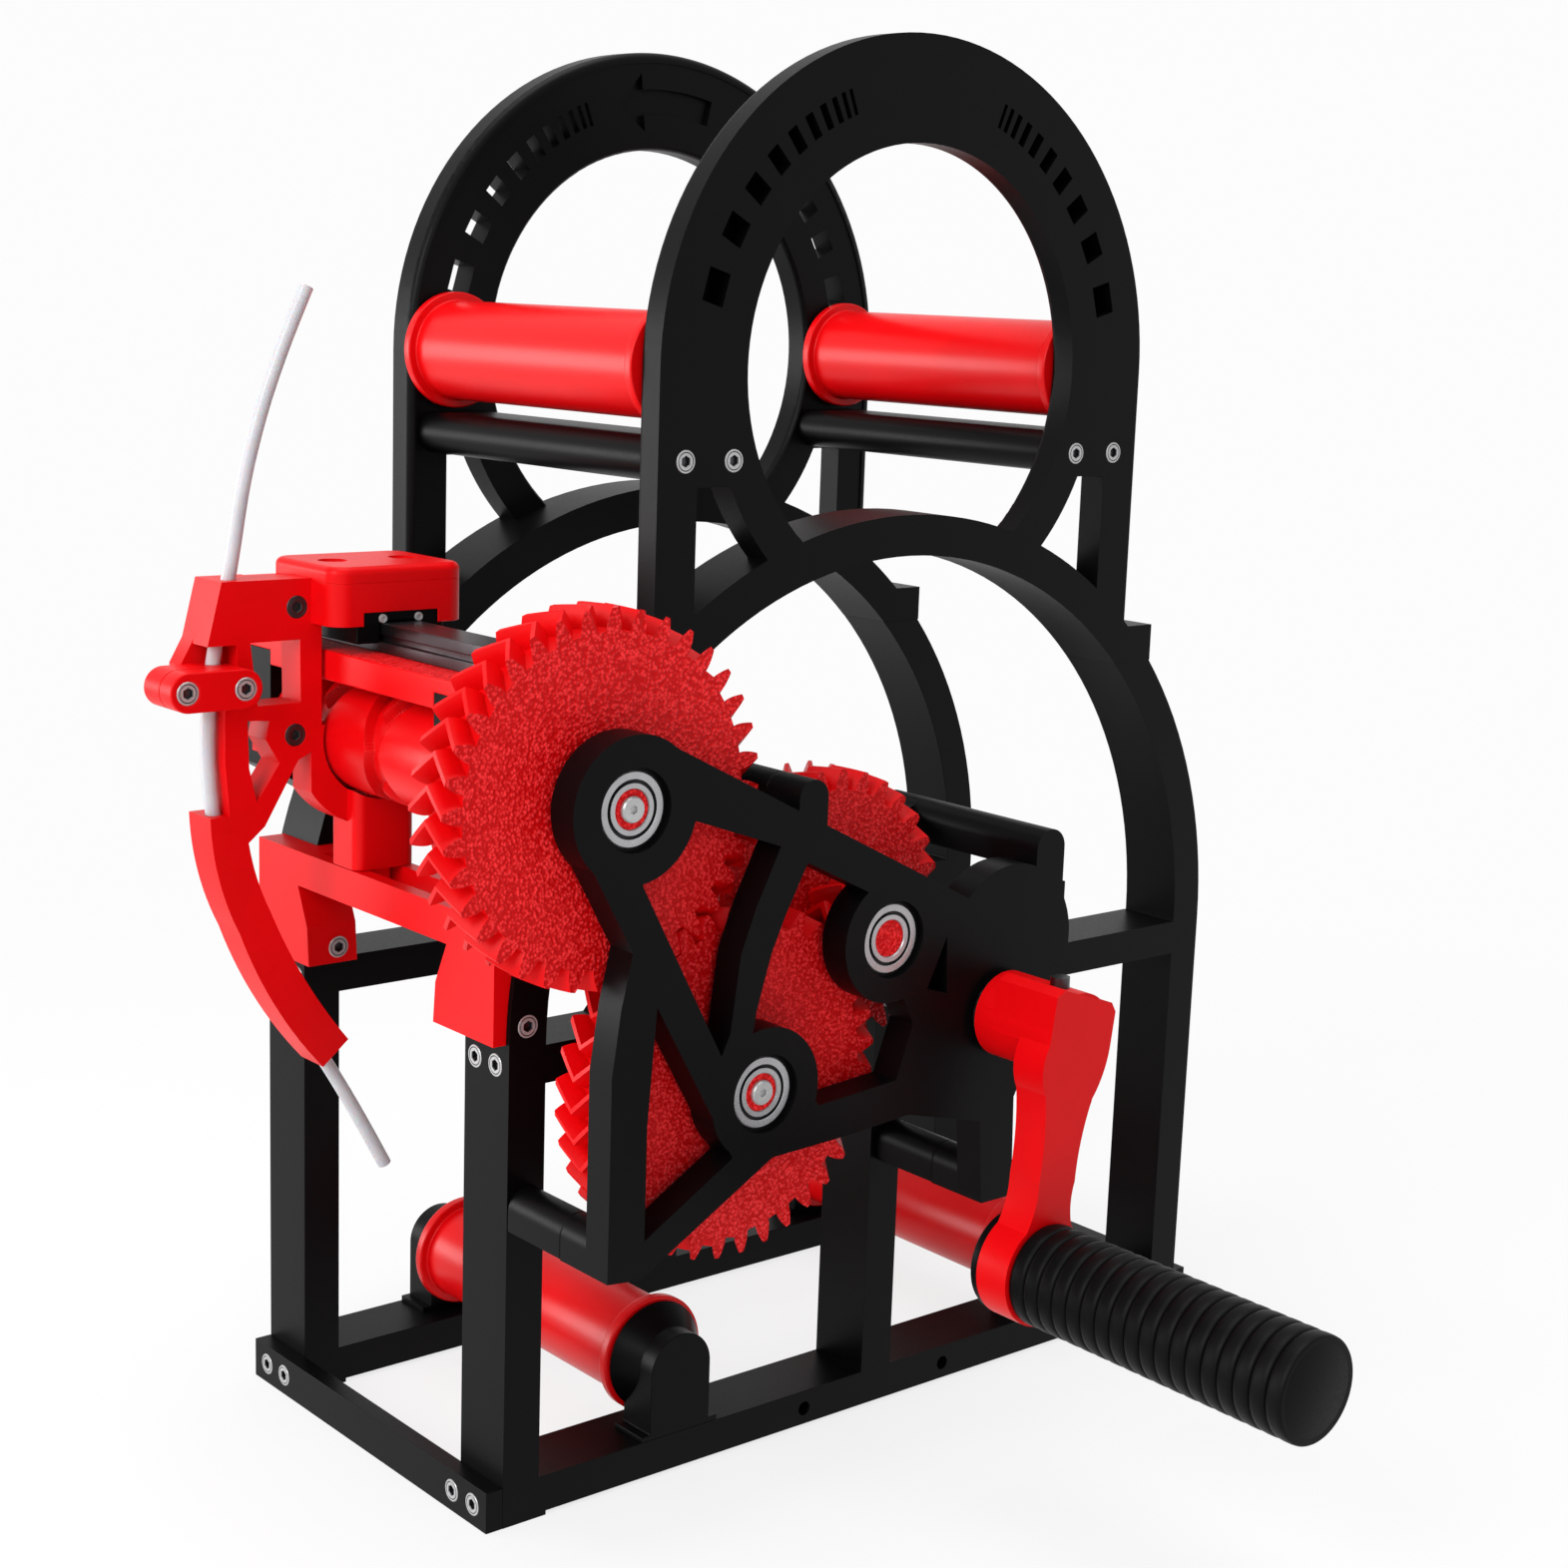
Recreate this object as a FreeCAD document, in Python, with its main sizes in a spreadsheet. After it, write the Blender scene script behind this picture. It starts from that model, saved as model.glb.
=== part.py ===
# Hand-cranked filament spool winder: two arched side frames with two spool bays, a gear train
# that turns a barrel cam, and a carriage that lays the filament evenly.
# Millimetres, +Z up, +Y to the back. The pieces are built round the middle of the base, and at the
# end all move together, so that the origin is under the middle of the whole object, on the floor.
import FreeCAD, Part
import math
import os
import re

V = FreeCAD.Vector
doc = FreeCAD.newDocument("SpoolWinder")
sheet = doc.addObject("Spreadsheet::Sheet", "Sizes")
names = []


def size(name, number, meaning):
    """One driving dimension: a plain number in the sheet under its own name."""
    names.append(name)
    row = len(names)
    sheet.set(f"A{row}", meaning)
    sheet.set(f"B{row}", str(number))
    sheet.setAlias(f"B{row}", name)
    return float(number)


# Side frames
frame_depth = size("frame_depth", 125, "front face to back face")
side_thickness = size("side_thickness", 20.5, "side frame, front to back")
arch_radius = size("arch_radius", 133, "outer radius of the arch")
band_width = size("band_width", 11.5, "width of the arch band and the legs")
arch_axis = size("arch_axis", 132.7, "height of the arch centre and the crank")
beam_height = size("beam_height", 11.6, "base beam")
beam_relief = size("beam_relief", 1.2, "base beam lifted off the floor between its feet")
foot_length = size("foot_length", 14, "foot at each end of the base beam")
cross_height = size("cross_height", 10.4, "cross beam")
cross_drop = size("cross_drop", 0.5, "cross beam top below the arch centre")
post_width = size("post_width", 11.4, "middle post")
end_bar_thickness = size("end_bar_thickness", 5.2, "bar over each end of the base")
base_hole_spacing = size("base_hole_spacing", 55.4, "between the two holes in the base beam")
base_hole_height = size("base_hole_height", 6, "height of the base holes")
base_hole_radius = size("base_hole_radius", 2.1, "radius of the base holes")

# Towers with the rings
seam_height = size("seam_height", 218, "joint between lower and upper frame")
tab_rise = size("tab_rise", 11, "shoulder above the seam")
tab_half_width = size("tab_half_width", 102.3, "shoulder, half width")
tower_leg = size("tower_leg", 13, "width of the tower leg")
ring_plate = size("ring_plate", 8.8, "thickness of the ring plate")
ring_lip = size("ring_lip", 0.4, "lip round the inner face, above that face")
ring_lip_width = size("ring_lip_width", 0.6, "width of the lip")
ring_round = size("ring_round", 2.4, "rounding of the edges on the inner side")
back_tower_shift = size("back_tower_shift", 3.4, "back ring behind the back face of the frame")
ring_height = size("ring_height", 305.6, "height of the ring centre")
ring_radius = size("ring_radius", 89.8, "outer radius of the ring, and half the width of its tower")
ring_bore = size("ring_bore", 61, "inner radius of the ring")
opening_radius = size("opening_radius", 72.5, "ring side of the corner opening")
pad_drop = size("pad_drop", 30.6, "screw pad below the ring centre")
window_radius = size("window_radius", 75.2, "circle of the windows")
window_length = size("window_length", 7, "window, along the radius")
window_share = size("window_share", 0.56, "window width as a share of its step")
window_first = size("window_first", 16, "angle of the first window above the roller")
window_step = size("window_step", 12.1, "angle from the first window to the second")
window_shrink = size("window_shrink", 0.8, "each step over the one before it")
window_count = size("window_count", 10, "windows on each side of a ring")
window_floor = size("window_floor", 1, "wall behind the windows of the front ring")
arrow_tail = size("arrow_tail", 76.1, "angle of the arrow's tail on the back ring")
arrow_neck = size("arrow_neck", 95.7, "angle where its head begins")
arrow_tip = size("arrow_tip", 102.9, "angle of its tip")
arrow_width = size("arrow_width", 17.2, "width of the arrow head")
arrow_shaft = size("arrow_shaft", 7.6, "width of its shaft")
arrow_depth = size("arrow_depth", 1.8, "depth of the arrow recess")
spacer_width = size("spacer_width", 28, "spacer bar between the towers, along X")
spacer_height = size("spacer_height", 12, "spacer bar, along Z")
pad_screw_height = size("pad_screw_height", 23.8, "pad screws below the ring centre")
pad_screw_spacing = size("pad_screw_spacing", 16, "between the two screws of a pad")
pad_screw_middle = size("pad_screw_middle", 72.7, "middle of the pair from the centre line")

# Rollers and their pedestals
roller_radius = size("roller_radius", 14.2, "roller body")
flange_radius = size("flange_radius", 16.7, "roller end flange")
flange_thickness = size("flange_thickness", 3, "roller end flange")
roller_gap = size("roller_gap", 0.7, "roller end to its carrier")
upper_roller_half = size("upper_roller_half", 75.5, "upper roller from the centre line")
lower_roller_half = size("lower_roller_half", 73.8, "lower roller from the centre line")
lower_roller_height = size("lower_roller_height", 30.2, "height of the lower rollers")
pedestal_depth = size("pedestal_depth", 12.5, "pedestal, front to back")
pedestal_radius = size("pedestal_radius", 10.3, "dome of the pedestal")
pedestal_flare = size("pedestal_flare", 15.6, "cup on the roller side")
flare_length = size("flare_length", 7, "length of the flare")
pedestal_foot = size("pedestal_foot", 3, "foot wider than the pedestal on each side")

# Bearings, 10 x 19 x 5
bearing_radius = size("bearing_radius", 9.5, "outer radius of a bearing")
bearing_bore = size("bearing_bore", 5, "bore radius of a bearing")
bearing_width = size("bearing_width", 5, "width of a bearing")
seat_clearance = size("seat_clearance", 0.04, "bearing in its seat, all round")
shaft_clearance = size("shaft_clearance", 0.05, "shaft in its bearing, all round")
seat_floor = size("seat_floor", 0.3, "gap behind a bearing")

# Gears
gear_module = size("gear_module", 2.5, "tooth module")
teeth_large = size("teeth_large", 36, "cam gear and transfer gear")
teeth_second = size("teeth_second", 31, "gear on the second shaft")
teeth_pinion = size("teeth_pinion", 8, "both pinions")
gear_width = size("gear_width", 14.4, "face width")
gear_backlash = size("gear_backlash", 0.45, "tooth thinner than half a pitch")
pinion_backlash = size("pinion_backlash", 0.7, "pinion tooth thinner than half a pitch")
pinion_tip = size("pinion_tip", 1.6, "pinion tooth above the pitch circle")
tooth_root = size("tooth_root", 1.25, "depth below the pitch circle, in modules")
vee_angle = size("vee_angle", -7.3, "turn of the tooth tip at mid width, large gear")
cam_phase = size("cam_phase", 8.8, "angle of a cam gear tooth")
second_phase = size("second_phase", 2.7, "angle of a second gear tooth")
layer_gap = size("layer_gap", 1, "between the two gear layers")
front_layer_gap = size("front_layer_gap", 18, "front gear layer before the frame")
train_one = size("train_one", 147.75, "direction from crank to second shaft")
train_two = size("train_two", 219.27, "direction from second shaft to transfer shaft")
train_three = size("train_three", 118.95, "direction from transfer shaft to cam shaft")
collar_radius = size("collar_radius", 7, "collar on a shaft")
collar_gap = size("collar_gap", 0.3, "collar to the next bearing or wall")
shaft_recess = size("shaft_recess", 2.1, "shaft end below the face of the gear plate")

# Gear plate in front of the frame
plate_gap = size("plate_gap", 35, "gear plate behind face in front of the frame")
plate_thickness = size("plate_thickness", 9.3, "gear plate")
bearing_recess = size("bearing_recess", 1.7, "bearing below the plate face")
recess_radius = size("recess_radius", 10.5, "recess around a bearing")
cam_boss = size("cam_boss", 18.6, "plate boss at the cam shaft")
second_boss = size("second_boss", 17.2, "plate boss at the second shaft")
transfer_boss = size("transfer_boss", 17.6, "plate boss at the transfer shaft")
crank_boss = size("crank_boss", 23, "plate boss at the crank")
crank_boss_rise = size("crank_boss_rise", 18.3, "rounded lobe above the crank")
arm_width = size("arm_width", 10.2, "arm of the gear plate")
upper_post_width = size("upper_post_width", 9.6, "post at the top arm")
upper_post_rise = size("upper_post_rise", 10, "post above the top arm")
right_post_width = size("right_post_width", 10.8, "post at the lobe")
right_post_top = size("right_post_top", 49.5, "post top above the crank")
right_post_offset = size("right_post_offset", 16.6, "post from the crank, to the right")
post_height = size("post_height", 11.5, "height of a standoff")
standoff_joint = size("standoff_joint", 24, "joint of the lower standoffs, before the frame")
upper_joint = size("upper_joint", 31, "joint of the upper standoff, before the frame")
right_joint = size("right_joint", 7, "joint of the right standoff, inside the frame")
lower_post_height = size("lower_post_height", 83.5, "height of the lower standoffs")
spoke_width = size("spoke_width", 10, "spoke behind the gears")
spoke_turn = size("spoke_turn", 146, "where the upper spoke meets the arch")
hub_wall = size("hub_wall", 4.5, "wall round a bearing in the frame")

# Cam, rail and carriage
cam_radius = size("cam_radius", 16, "barrel cam")
cam_gap = size("cam_gap", 0.6, "cam end to its bracket")
groove_width = size("groove_width", 5.2, "cam groove")
bracket_half_width = size("bracket_half_width", 16.1, "bracket beside the cam shaft")
cam_to_rail_beam = size("cam_to_rail_beam", 16.4, "cam centre to the underside of the beam")
rail_beam_half_width = size("rail_beam_half_width", 16.3, "rail beam, half width")
beam_clearance = size("beam_clearance", 1.2, "moving web beside the rail beam")
rail_beam_height = size("rail_beam_height", 8.2, "rail beam")
rail_beam_notch = size("rail_beam_notch", 4.2, "rail beam let down over its brackets")
rail_width = size("rail_width", 12, "rail")
rail_height = size("rail_height", 8, "rail")
rail_groove = size("rail_groove", 1.8, "groove along each side of the rail")
rail_end = size("rail_end", 7, "rail short of each face of the frame")
block_width = size("block_width", 27, "carriage block")
block_length = size("block_length", 34, "carriage block")
block_lift = size("block_lift", 2.6, "block above the foot of the rail")
block_top = size("block_top", 4.7, "block above the rail")
rail_clearance = size("rail_clearance", 0.3, "block round the rail")
cap_width = size("cap_width", 41.4, "carriage cap")
cap_length = size("cap_length", 35, "carriage cap")
cap_height = size("cap_height", 15.9, "carriage cap")
cap_overlap = size("cap_overlap", 5.3, "cap reaches down over the block")
cap_mouth = size("cap_mouth", 3.6, "height of the opening in each end of the cap")
cap_mouth_width = size("cap_mouth_width", 23, "width of the opening in each end of the cap")
cap_corner = size("cap_corner", 5.6, "upright corners of the cap")
lid_height = size("lid_height", 4.3, "lid on the cap")
lid_round = size("lid_round", 2, "top edge of the lid")
lid_dish = size("lid_dish", 4, "radius of the two dishes in the lid")
lid_dish_depth = size("lid_dish_depth", 0.8, "depth of the dishes")
lid_dish_spacing = size("lid_dish_spacing", 22, "between the dishes")
tab_width = size("tab_width", 14, "tab of the cap behind the guide plate")
lug_rise = size("lug_rise", 4.6, "upper guide screw above the underside of the cap")
carriage_place = size("carriage_place", 17.2, "middle of the carriage behind the middle of the frame")

# Thread guide
guide_front = size("guide_front", 11.5, "guide plate front behind the middle of the frame")
guide_thickness = size("guide_thickness", 10, "guide plate")
head_thickness = size("head_thickness", 14.6, "head of the guide plate")
follower_width = size("follower_width", 19, "follower cup, along X")
follower_depth = size("follower_depth", 14.4, "follower cup, along Y")
follower_front = size("follower_front", 6.9, "cup front behind the middle of the frame")
follower_bottom = size("follower_bottom", 36.4, "cup bottom below the cam centre")
follower_cup = size("follower_cup", 30.4, "height of the cup")
follower_corner = size("follower_corner", 3, "upright corners of the cup")
follower_pin = size("follower_pin", 5, "pin under the cam")
pin_clearance = size("pin_clearance", 0.3, "pin in the groove, all round, and below the cam")
lower_tab_size = size("lower_tab_size", 12, "tab behind the lower guide screw")
lug_depth = size("lug_depth", 6, "depth of that tab")
follower_ring = size("follower_ring", 8, "arm that curves round the cam")
follower_clearance = size("follower_clearance", 1, "between cam and follower")
stem_radius = size("stem_radius", 4.9, "stem in the slot")
stem_length = size("stem_length", 8.5, "stem below the cup")
clamp_length = size("clamp_length", 26.4, "clamp bar")
clamp_height = size("clamp_height", 10.6, "clamp bar")
clamp_thickness = size("clamp_thickness", 6.7, "clamp bar")
clamp_boss = size("clamp_boss", 8.3, "boss behind the clamp bar")
clamp_screw_spacing = size("clamp_screw_spacing", 16.6, "between the clamp screws")
tube_radius = size("tube_radius", 1.95, "thread tube")
tube_depth = size("tube_depth", 5, "tube centre behind the guide plate front")
tube_bore = size("tube_bore", 1, "bore of the thread tube")
tube_clearance = size("tube_clearance", 0.1, "tube in its passage")

# Follower beam
beam_wall = size("beam_wall", 4.2, "foot wider than the leg")
cheek_width = size("cheek_width", 18, "cheek outside the leg, before it is fitted to the arch")
cheek_inset = size("cheek_inset", 1.5, "cheek short of the frame's outer face")
follower_beam_half_width = size("follower_beam_half_width", 9.6, "beam under the cup, half width")
follower_beam_height = size("follower_beam_height", 10, "beam under the cup")
follower_beam_top = size("follower_beam_top", 166, "height of its top face")
slot_clearance = size("slot_clearance", 0.4, "stem in the slot, each side")
foot_drop = size("foot_drop", 22.5, "feet below the beam")
foot_depth = size("foot_depth", 9.5, "foot against the leg")

# Crank
crank_gap = size("crank_gap", 2, "crank hub before the gear plate")
crank_hub_radius = size("crank_hub_radius", 12, "crank hub")
crank_face = size("crank_face", 75, "crank face before the frame")
crank_arm_thickness = size("crank_arm_thickness", 11, "crank arm")
crank_block_thickness = size("crank_block_thickness", 22, "upper block of the crank")
crank_wall = size("crank_wall", 8, "crank before the end of its shaft")
crank_ring_rim = size("crank_ring_rim", 0.7, "ring of the crank outside the grip")
crank_length = size("crank_length", 65.2, "crank axis to grip axis")
crank_angle = size("crank_angle", -98.2, "direction of the crank arm")
grip_radius = size("grip_radius", 14.2, "grip")
grip_length = size("grip_length", 92, "grip")
grip_gap = size("grip_gap", 0.4, "grip before the arm")
grip_grooves = size("grip_grooves", 17, "grooves round the grip")
grip_groove_width = size("grip_groove_width", 0.9, "one groove")
grip_groove_depth = size("grip_groove_depth", 0.5, "one groove")
grip_round = size("grip_round", 0.8, "edge of the grip's end")
grip_bolt = size("grip_bolt", 4, "bolt inside the grip")
washer_rim = size("washer_rim", 0.2, "washer outside the grip")
washer_thickness = size("washer_thickness", 3, "washer behind the arm")
grub_radius = size("grub_radius", 2.7, "screw in the crank hub")
grub_height = size("grub_height", 3.4, "screw above the hub")

# Screws
screw_radius = size("screw_radius", 1.5, "screw shank")
screw_head = size("screw_head", 3.15, "screw head")
screw_head_height = size("screw_head_height", 1.7, "countersunk head")
screw_length = size("screw_length", 12, "screw")
screw_socket = size("screw_socket", 1.1, "hexagon socket")
screw_clearance = size("screw_clearance", 0.05, "screw in its hole")
socket_depth = size("socket_depth", 1.1, "depth of the hexagon socket")

# Origin of the finished object
origin_right = size("origin_right", 27.14, "middle of the base to the right of the origin")
origin_back = size("origin_back", 82, "middle of the base behind the origin")
doc.recompute()

pattern = re.compile(r"\b(" + "|".join(sorted(names, key=len, reverse=True)) + r")\b")


def bind(item, prop, formula):
    """Binds one property to the sheet."""
    item.setExpression(prop, pattern.sub(r"Sizes.\1", str(formula)))


def place(item, x, y, z):
    bind(item, "Placement.Base.x", x)
    bind(item, "Placement.Base.y", y)
    bind(item, "Placement.Base.z", z)
    return item


def block(lx, ly, lz, x, y, z):
    """A box with its low corner at x, y, z."""
    item = doc.addObject("Part::Box", "Block")
    bind(item, "Length", lx)
    bind(item, "Width", ly)
    bind(item, "Height", lz)
    return place(item, x, y, z)


TURNS = {
    "x": FreeCAD.Rotation(V(0, 1, 0), 90),
    "y": FreeCAD.Rotation(V(1, 0, 0), -90),
    "z": FreeCAD.Rotation(),
}


def rod(radius, length, x, y, z, along="y"):
    """A cylinder that starts at x, y, z and runs along an axis."""
    item = doc.addObject("Part::Cylinder", "Rod")
    item.Placement = FreeCAD.Placement(V(), TURNS[along])
    bind(item, "Radius", radius)
    bind(item, "Height", length)
    return place(item, x, y, z)


def taper(radius_start, radius_end, length, x, y, z, along="y"):
    item = doc.addObject("Part::Cone", "Taper")
    item.Placement = FreeCAD.Placement(V(), TURNS[along])
    bind(item, "Radius1", radius_start)
    bind(item, "Radius2", radius_end)
    bind(item, "Height", length)
    return place(item, x, y, z)


def fuse(*items):
    if len(items) == 1:
        return items[0]
    joined = doc.addObject("Part::MultiFuse", "Fuse")
    joined.Shapes = list(items)
    joined.Refine = True
    return joined


def cut(base, *tools):
    result = doc.addObject("Part::Cut", "Cut")
    result.Base = base
    result.Tool = fuse(*tools)
    result.Refine = True
    return result


def solid(shape):
    """A shape made in code from the named sizes."""
    item = doc.addObject("Part::Feature", "Form")
    item.Shape = shape
    return item


def outline(points):
    """A flat face in the XZ plane; a point is (x, z)."""
    corners = [V(x, 0, z) for x, z in points]
    return Part.Face(Part.makePolygon(corners + corners[:1]))


def slab(face, start, depth):
    """A face in the XZ plane, moved to y = start and extruded backwards by depth."""
    base = doc.addObject("Part::Feature", "Outline")
    base.Shape = face
    bind(base, "Placement.Base.y", start)
    item = doc.addObject("Part::Extrusion", "Slab")
    item.Base = base
    item.DirMode = "Custom"
    item.Dir = V(0, 1, 0)
    bind(item, "LengthFwd", depth)
    item.Solid = True
    return item


def group(*items):
    """Separate solids that belong together, such as a set of screws."""
    if len(items) == 1:
        return items[0]
    item = doc.addObject("Part::Compound", "Group")
    item.Links = list(items)
    return item


nodes = []


def node(name, item):
    item.Label = name
    nodes.append(item)
    return item


def polar(centre, distance, degrees):
    turn = math.radians(degrees)
    return (centre[0] + distance * math.cos(turn), centre[1] + distance * math.sin(turn))


# Shaft axes of the gear train, as (x, z)
crank_axis = (0.0, arch_axis)
second_axis = polar(crank_axis, gear_module * (teeth_second + teeth_pinion) / 2, train_one)
transfer_axis = polar(second_axis, gear_module * (teeth_large + teeth_pinion) / 2, train_two)
cam_axis = polar(transfer_axis, gear_module * teeth_large, train_three)

FRONT = "-frame_depth/2"
BACK = "frame_depth/2"
front = -frame_depth / 2


# Side frames
def arch_sector(inner, outer, start, depth):
    """A half ring round the arch centre."""
    ring = cut(rod(outer, depth, 0, start, "arch_axis"), rod(inner, depth, 0, start, "arch_axis"))
    return cut(ring, block("4*arch_radius", depth, "2*arch_radius", "-2*arch_radius", start,
                           "arch_axis-2*arch_radius"))


INNER = "(arch_radius-band_width)"


def lower_frame(start):
    depth = "side_thickness"
    arch = arch_sector(INNER, "arch_radius", start, depth)
    over = block("4*arch_radius", depth, "arch_radius", "-2*arch_radius", start, "seam_height")
    legs = [
        block("band_width", depth, "arch_axis", "-arch_radius", start, 0),
        block("band_width", depth, "arch_axis", "arch_radius-band_width", start, 0),
    ]
    beam = block("2*arch_radius", depth, "beam_height", "-arch_radius", start, 0)
    cross = block(f"2*{INNER}+band_width", depth, "cross_height", f"-{INNER}-band_width/2", start,
                  "arch_axis-cross_drop-cross_height")
    post = block("post_width", depth, "arch_axis-cross_height-beam_height/2", "-post_width/2", start,
                 "beam_height/2")
    relief = block("2*(arch_radius-foot_length)", depth, "beam_relief",
                   "-(arch_radius-foot_length)", start, 0)
    return cut(fuse(cut(arch, over), *legs, beam, cross, post), relief)


HUB = "bearing_radius+hub_wall"
SEAT = "bearing_radius+seat_clearance"
PASSAGE = "bearing_bore+2"


def bar_between(first, second, width, start, depth):
    """A straight bar between two points of the XZ plane."""
    run = math.hypot(second[0] - first[0], second[1] - first[1])
    ux = (second[0] - first[0]) / run
    uz = (second[1] - first[1]) / run
    half = width / 2
    corners = [
        (first[0] - uz * half, first[1] + ux * half),
        (second[0] - uz * half, second[1] + ux * half),
        (second[0] + uz * half, second[1] - ux * half),
        (first[0] + uz * half, first[1] - ux * half),
    ]
    return slab(outline(corners), start, depth)


# Corners of the gear plate, from the shafts
top_left = polar(cam_axis, cam_boss - arm_width / 2, 62)
top_right = (crank_axis[0] - crank_boss * 0.62, crank_axis[1] + crank_boss_rise + crank_boss * 0.45)
slope = (top_right[1] - top_left[1]) / (top_right[0] - top_left[0])
arm_x = cam_axis[0] + 56.3
arm_point = (arm_x, top_left[1] + slope * (arm_x - top_left[0]))
post_top = arm_point[1] + arm_width / 2 + upper_post_rise
upper_post = (arm_x, post_top - post_height / 2)
right_post = (crank_axis[0] + right_post_offset, arch_axis + right_post_top - post_height / 2)
left_leg = -arch_radius + band_width / 2
lower_left = (left_leg, lower_post_height + post_height / 2)
lower_right = (crank_axis[0] + 2, lower_post_height - 6 + post_height / 2)

spoke_start = f"{FRONT}+right_joint"
spoke_depth = "side_thickness-right_joint"


def hub(axis, start=FRONT, depth="side_thickness"):
    return rod(HUB, depth, axis[0], start, axis[1])


def seat(axis, start, depth="bearing_width+seat_floor"):
    return rod(SEAT, depth, axis[0], start, axis[1])


def passage(axis, start, depth):
    return rod(PASSAGE, depth, axis[0], start, axis[1])


arch_point = polar(crank_axis, arch_radius - band_width / 2, spoke_turn)
spider = [
    hub(crank_axis),
    hub(second_axis),
    hub(transfer_axis),
    bar_between(crank_axis, second_axis, spoke_width * 1.4, spoke_start, spoke_depth),
    bar_between(second_axis, right_post, spoke_width, spoke_start, spoke_depth),
    bar_between(crank_axis, right_post, spoke_width, spoke_start, spoke_depth),
    bar_between(second_axis, upper_post, spoke_width, spoke_start, spoke_depth),
    bar_between(upper_post, arch_point, spoke_width, spoke_start, spoke_depth),
    rod("post_height/2", spoke_depth, upper_post[0], spoke_start, upper_post[1]),
    rod("post_height/2", spoke_depth, right_post[0], spoke_start, right_post[1]),
]
shaft_seats = []
for axis in (crank_axis, second_axis, transfer_axis):
    shaft_seats.append(seat(axis, FRONT))
shaft_seats.append(passage(crank_axis, FRONT, "side_thickness"))


def set_along(item, x, y, z, along):
    """Puts a form made along Z at x, y, z, so that it runs along an axis or against it."""
    way = {"x": V(1, 0, 0), "y": V(0, 1, 0), "z": V(0, 0, 1)}[along[-1]]
    if along.startswith("-"):
        way = way * -1
    item.Placement = FreeCAD.Placement(V(x, y, z), FreeCAD.Rotation(V(0, 0, 1), way))
    return item


def screw(x, y, z, along):
    """A countersunk screw with a hexagon socket; its head is flush with x, y, z."""
    head = Part.makeCone(screw_head, screw_radius, screw_head_height)
    shank = Part.makeCylinder(screw_radius, screw_length)
    corners = [polar((0, 0), screw_socket, 60 * k) for k in range(7)]
    socket = Part.Face(Part.makePolygon([V(a, b, 0) for a, b in corners])).extrude(V(0, 0, socket_depth))
    return set_along(solid(head.fuse(shank).cut(socket)), x, y, z, along)


def screw_hole(x, y, z, along):
    head = Part.makeCone(screw_head + screw_clearance, screw_radius + screw_clearance, screw_head_height)
    shank = Part.makeCylinder(screw_radius + screw_clearance, screw_length + seat_floor)
    return set_along(solid(head.fuse(shank)), x, y, z, along)


# Screw places
end_screws = []
for x, way in ((-arch_radius - end_bar_thickness, "x"), (arch_radius + end_bar_thickness, "-x")):
    for y in (front + 7, front + 17, -front - 17, -front - 7):
        end_screws.append((x, y, beam_height / 2, way))
cross_z = arch_axis - cross_drop - cross_height / 2
leg_screws = []
for x, way in ((-arch_radius, "x"), (arch_radius, "-x")):
    for y in (front + 6.5, front + 16, -front - 16, -front - 6.5):
        leg_screws.append((x, y, cross_z, way))
foot_z = follower_beam_top - follower_beam_height - foot_drop * 0.8
foot_screws = [
    (left_leg, front, foot_z, "y"),
    (left_leg, -front - side_thickness - foot_depth, foot_z, "y"),
]
pad_z = ring_height - pad_screw_height
pad_screws = []
for side in (-1, 1):
    for step in (-1, 1):
        x = side * pad_screw_middle + step * pad_screw_spacing / 2
        pad_screws.append((x, front, pad_z, "y"))
        pad_screws.append((x, -front + back_tower_shift, pad_z, "-y"))


def bracket(start):
    """The arm outside the arch that holds one end of the cam and of the rail beam."""
    left = cam_axis[0] - bracket_half_width
    right = cam_axis[0] + bracket_half_width
    top = cam_axis[1] + cam_to_rail_beam + rail_beam_notch
    middle_radius = arch_radius - band_width / 2
    corners = [
        (left, top), (right, top),
        polar(crank_axis, middle_radius, 141.5), polar(crank_axis, middle_radius, 160),
        (left, cam_axis[1] - bracket_half_width * 0.8),
    ]
    return slab(outline(corners), start, "side_thickness")


base_holes = []
for side in (-1, 1):
    base_holes.append(rod("base_hole_radius", "side_thickness", f"{side}*base_hole_spacing/2", FRONT,
                          "base_hole_height"))
front_screw_holes = [screw_hole(*at) for at in end_screws + leg_screws + foot_screws[:1] if at[1] < 0]
back_screw_holes = [screw_hole(*at) for at in end_screws + leg_screws + foot_screws[1:] if at[1] > 0]
back_start = f"{BACK}-side_thickness"
front_cam_seat = f"{FRONT}+side_thickness-bearing_width-seat_floor"
front_bracket_cuts = [seat(cam_axis, front_cam_seat), passage(cam_axis, FRONT, "side_thickness")]
node("front_lower_frame", cut(fuse(lower_frame(FRONT), bracket(FRONT), *spider), *shaft_seats, *base_holes,
                              *front_bracket_cuts, *front_screw_holes))
back_hub = hub(crank_axis, back_start)
node("back_lower_frame", cut(fuse(lower_frame(back_start), bracket(back_start), back_hub),
                             seat(crank_axis, back_start), seat(cam_axis, back_start), *back_screw_holes))

end_bars = (("left_end_bar", "-arch_radius-end_bar_thickness", -1), ("right_end_bar", "arch_radius", 1))
for name, x, way in end_bars:
    bar = block("end_bar_thickness", "frame_depth", "beam_height", x, FRONT, 0)
    holes = [screw_hole(*at) for at in end_screws if at[0] * way > 0]
    node(name, cut(bar, *holes))


# Towers with rings; the inner faces and the room between them
FRONT_FACE = f"{FRONT}+ring_plate"
BACK_FACE = f"{BACK}+back_tower_shift-ring_plate"
ROOM = "(frame_depth+back_tower_shift-2*ring_plate)"


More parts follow.
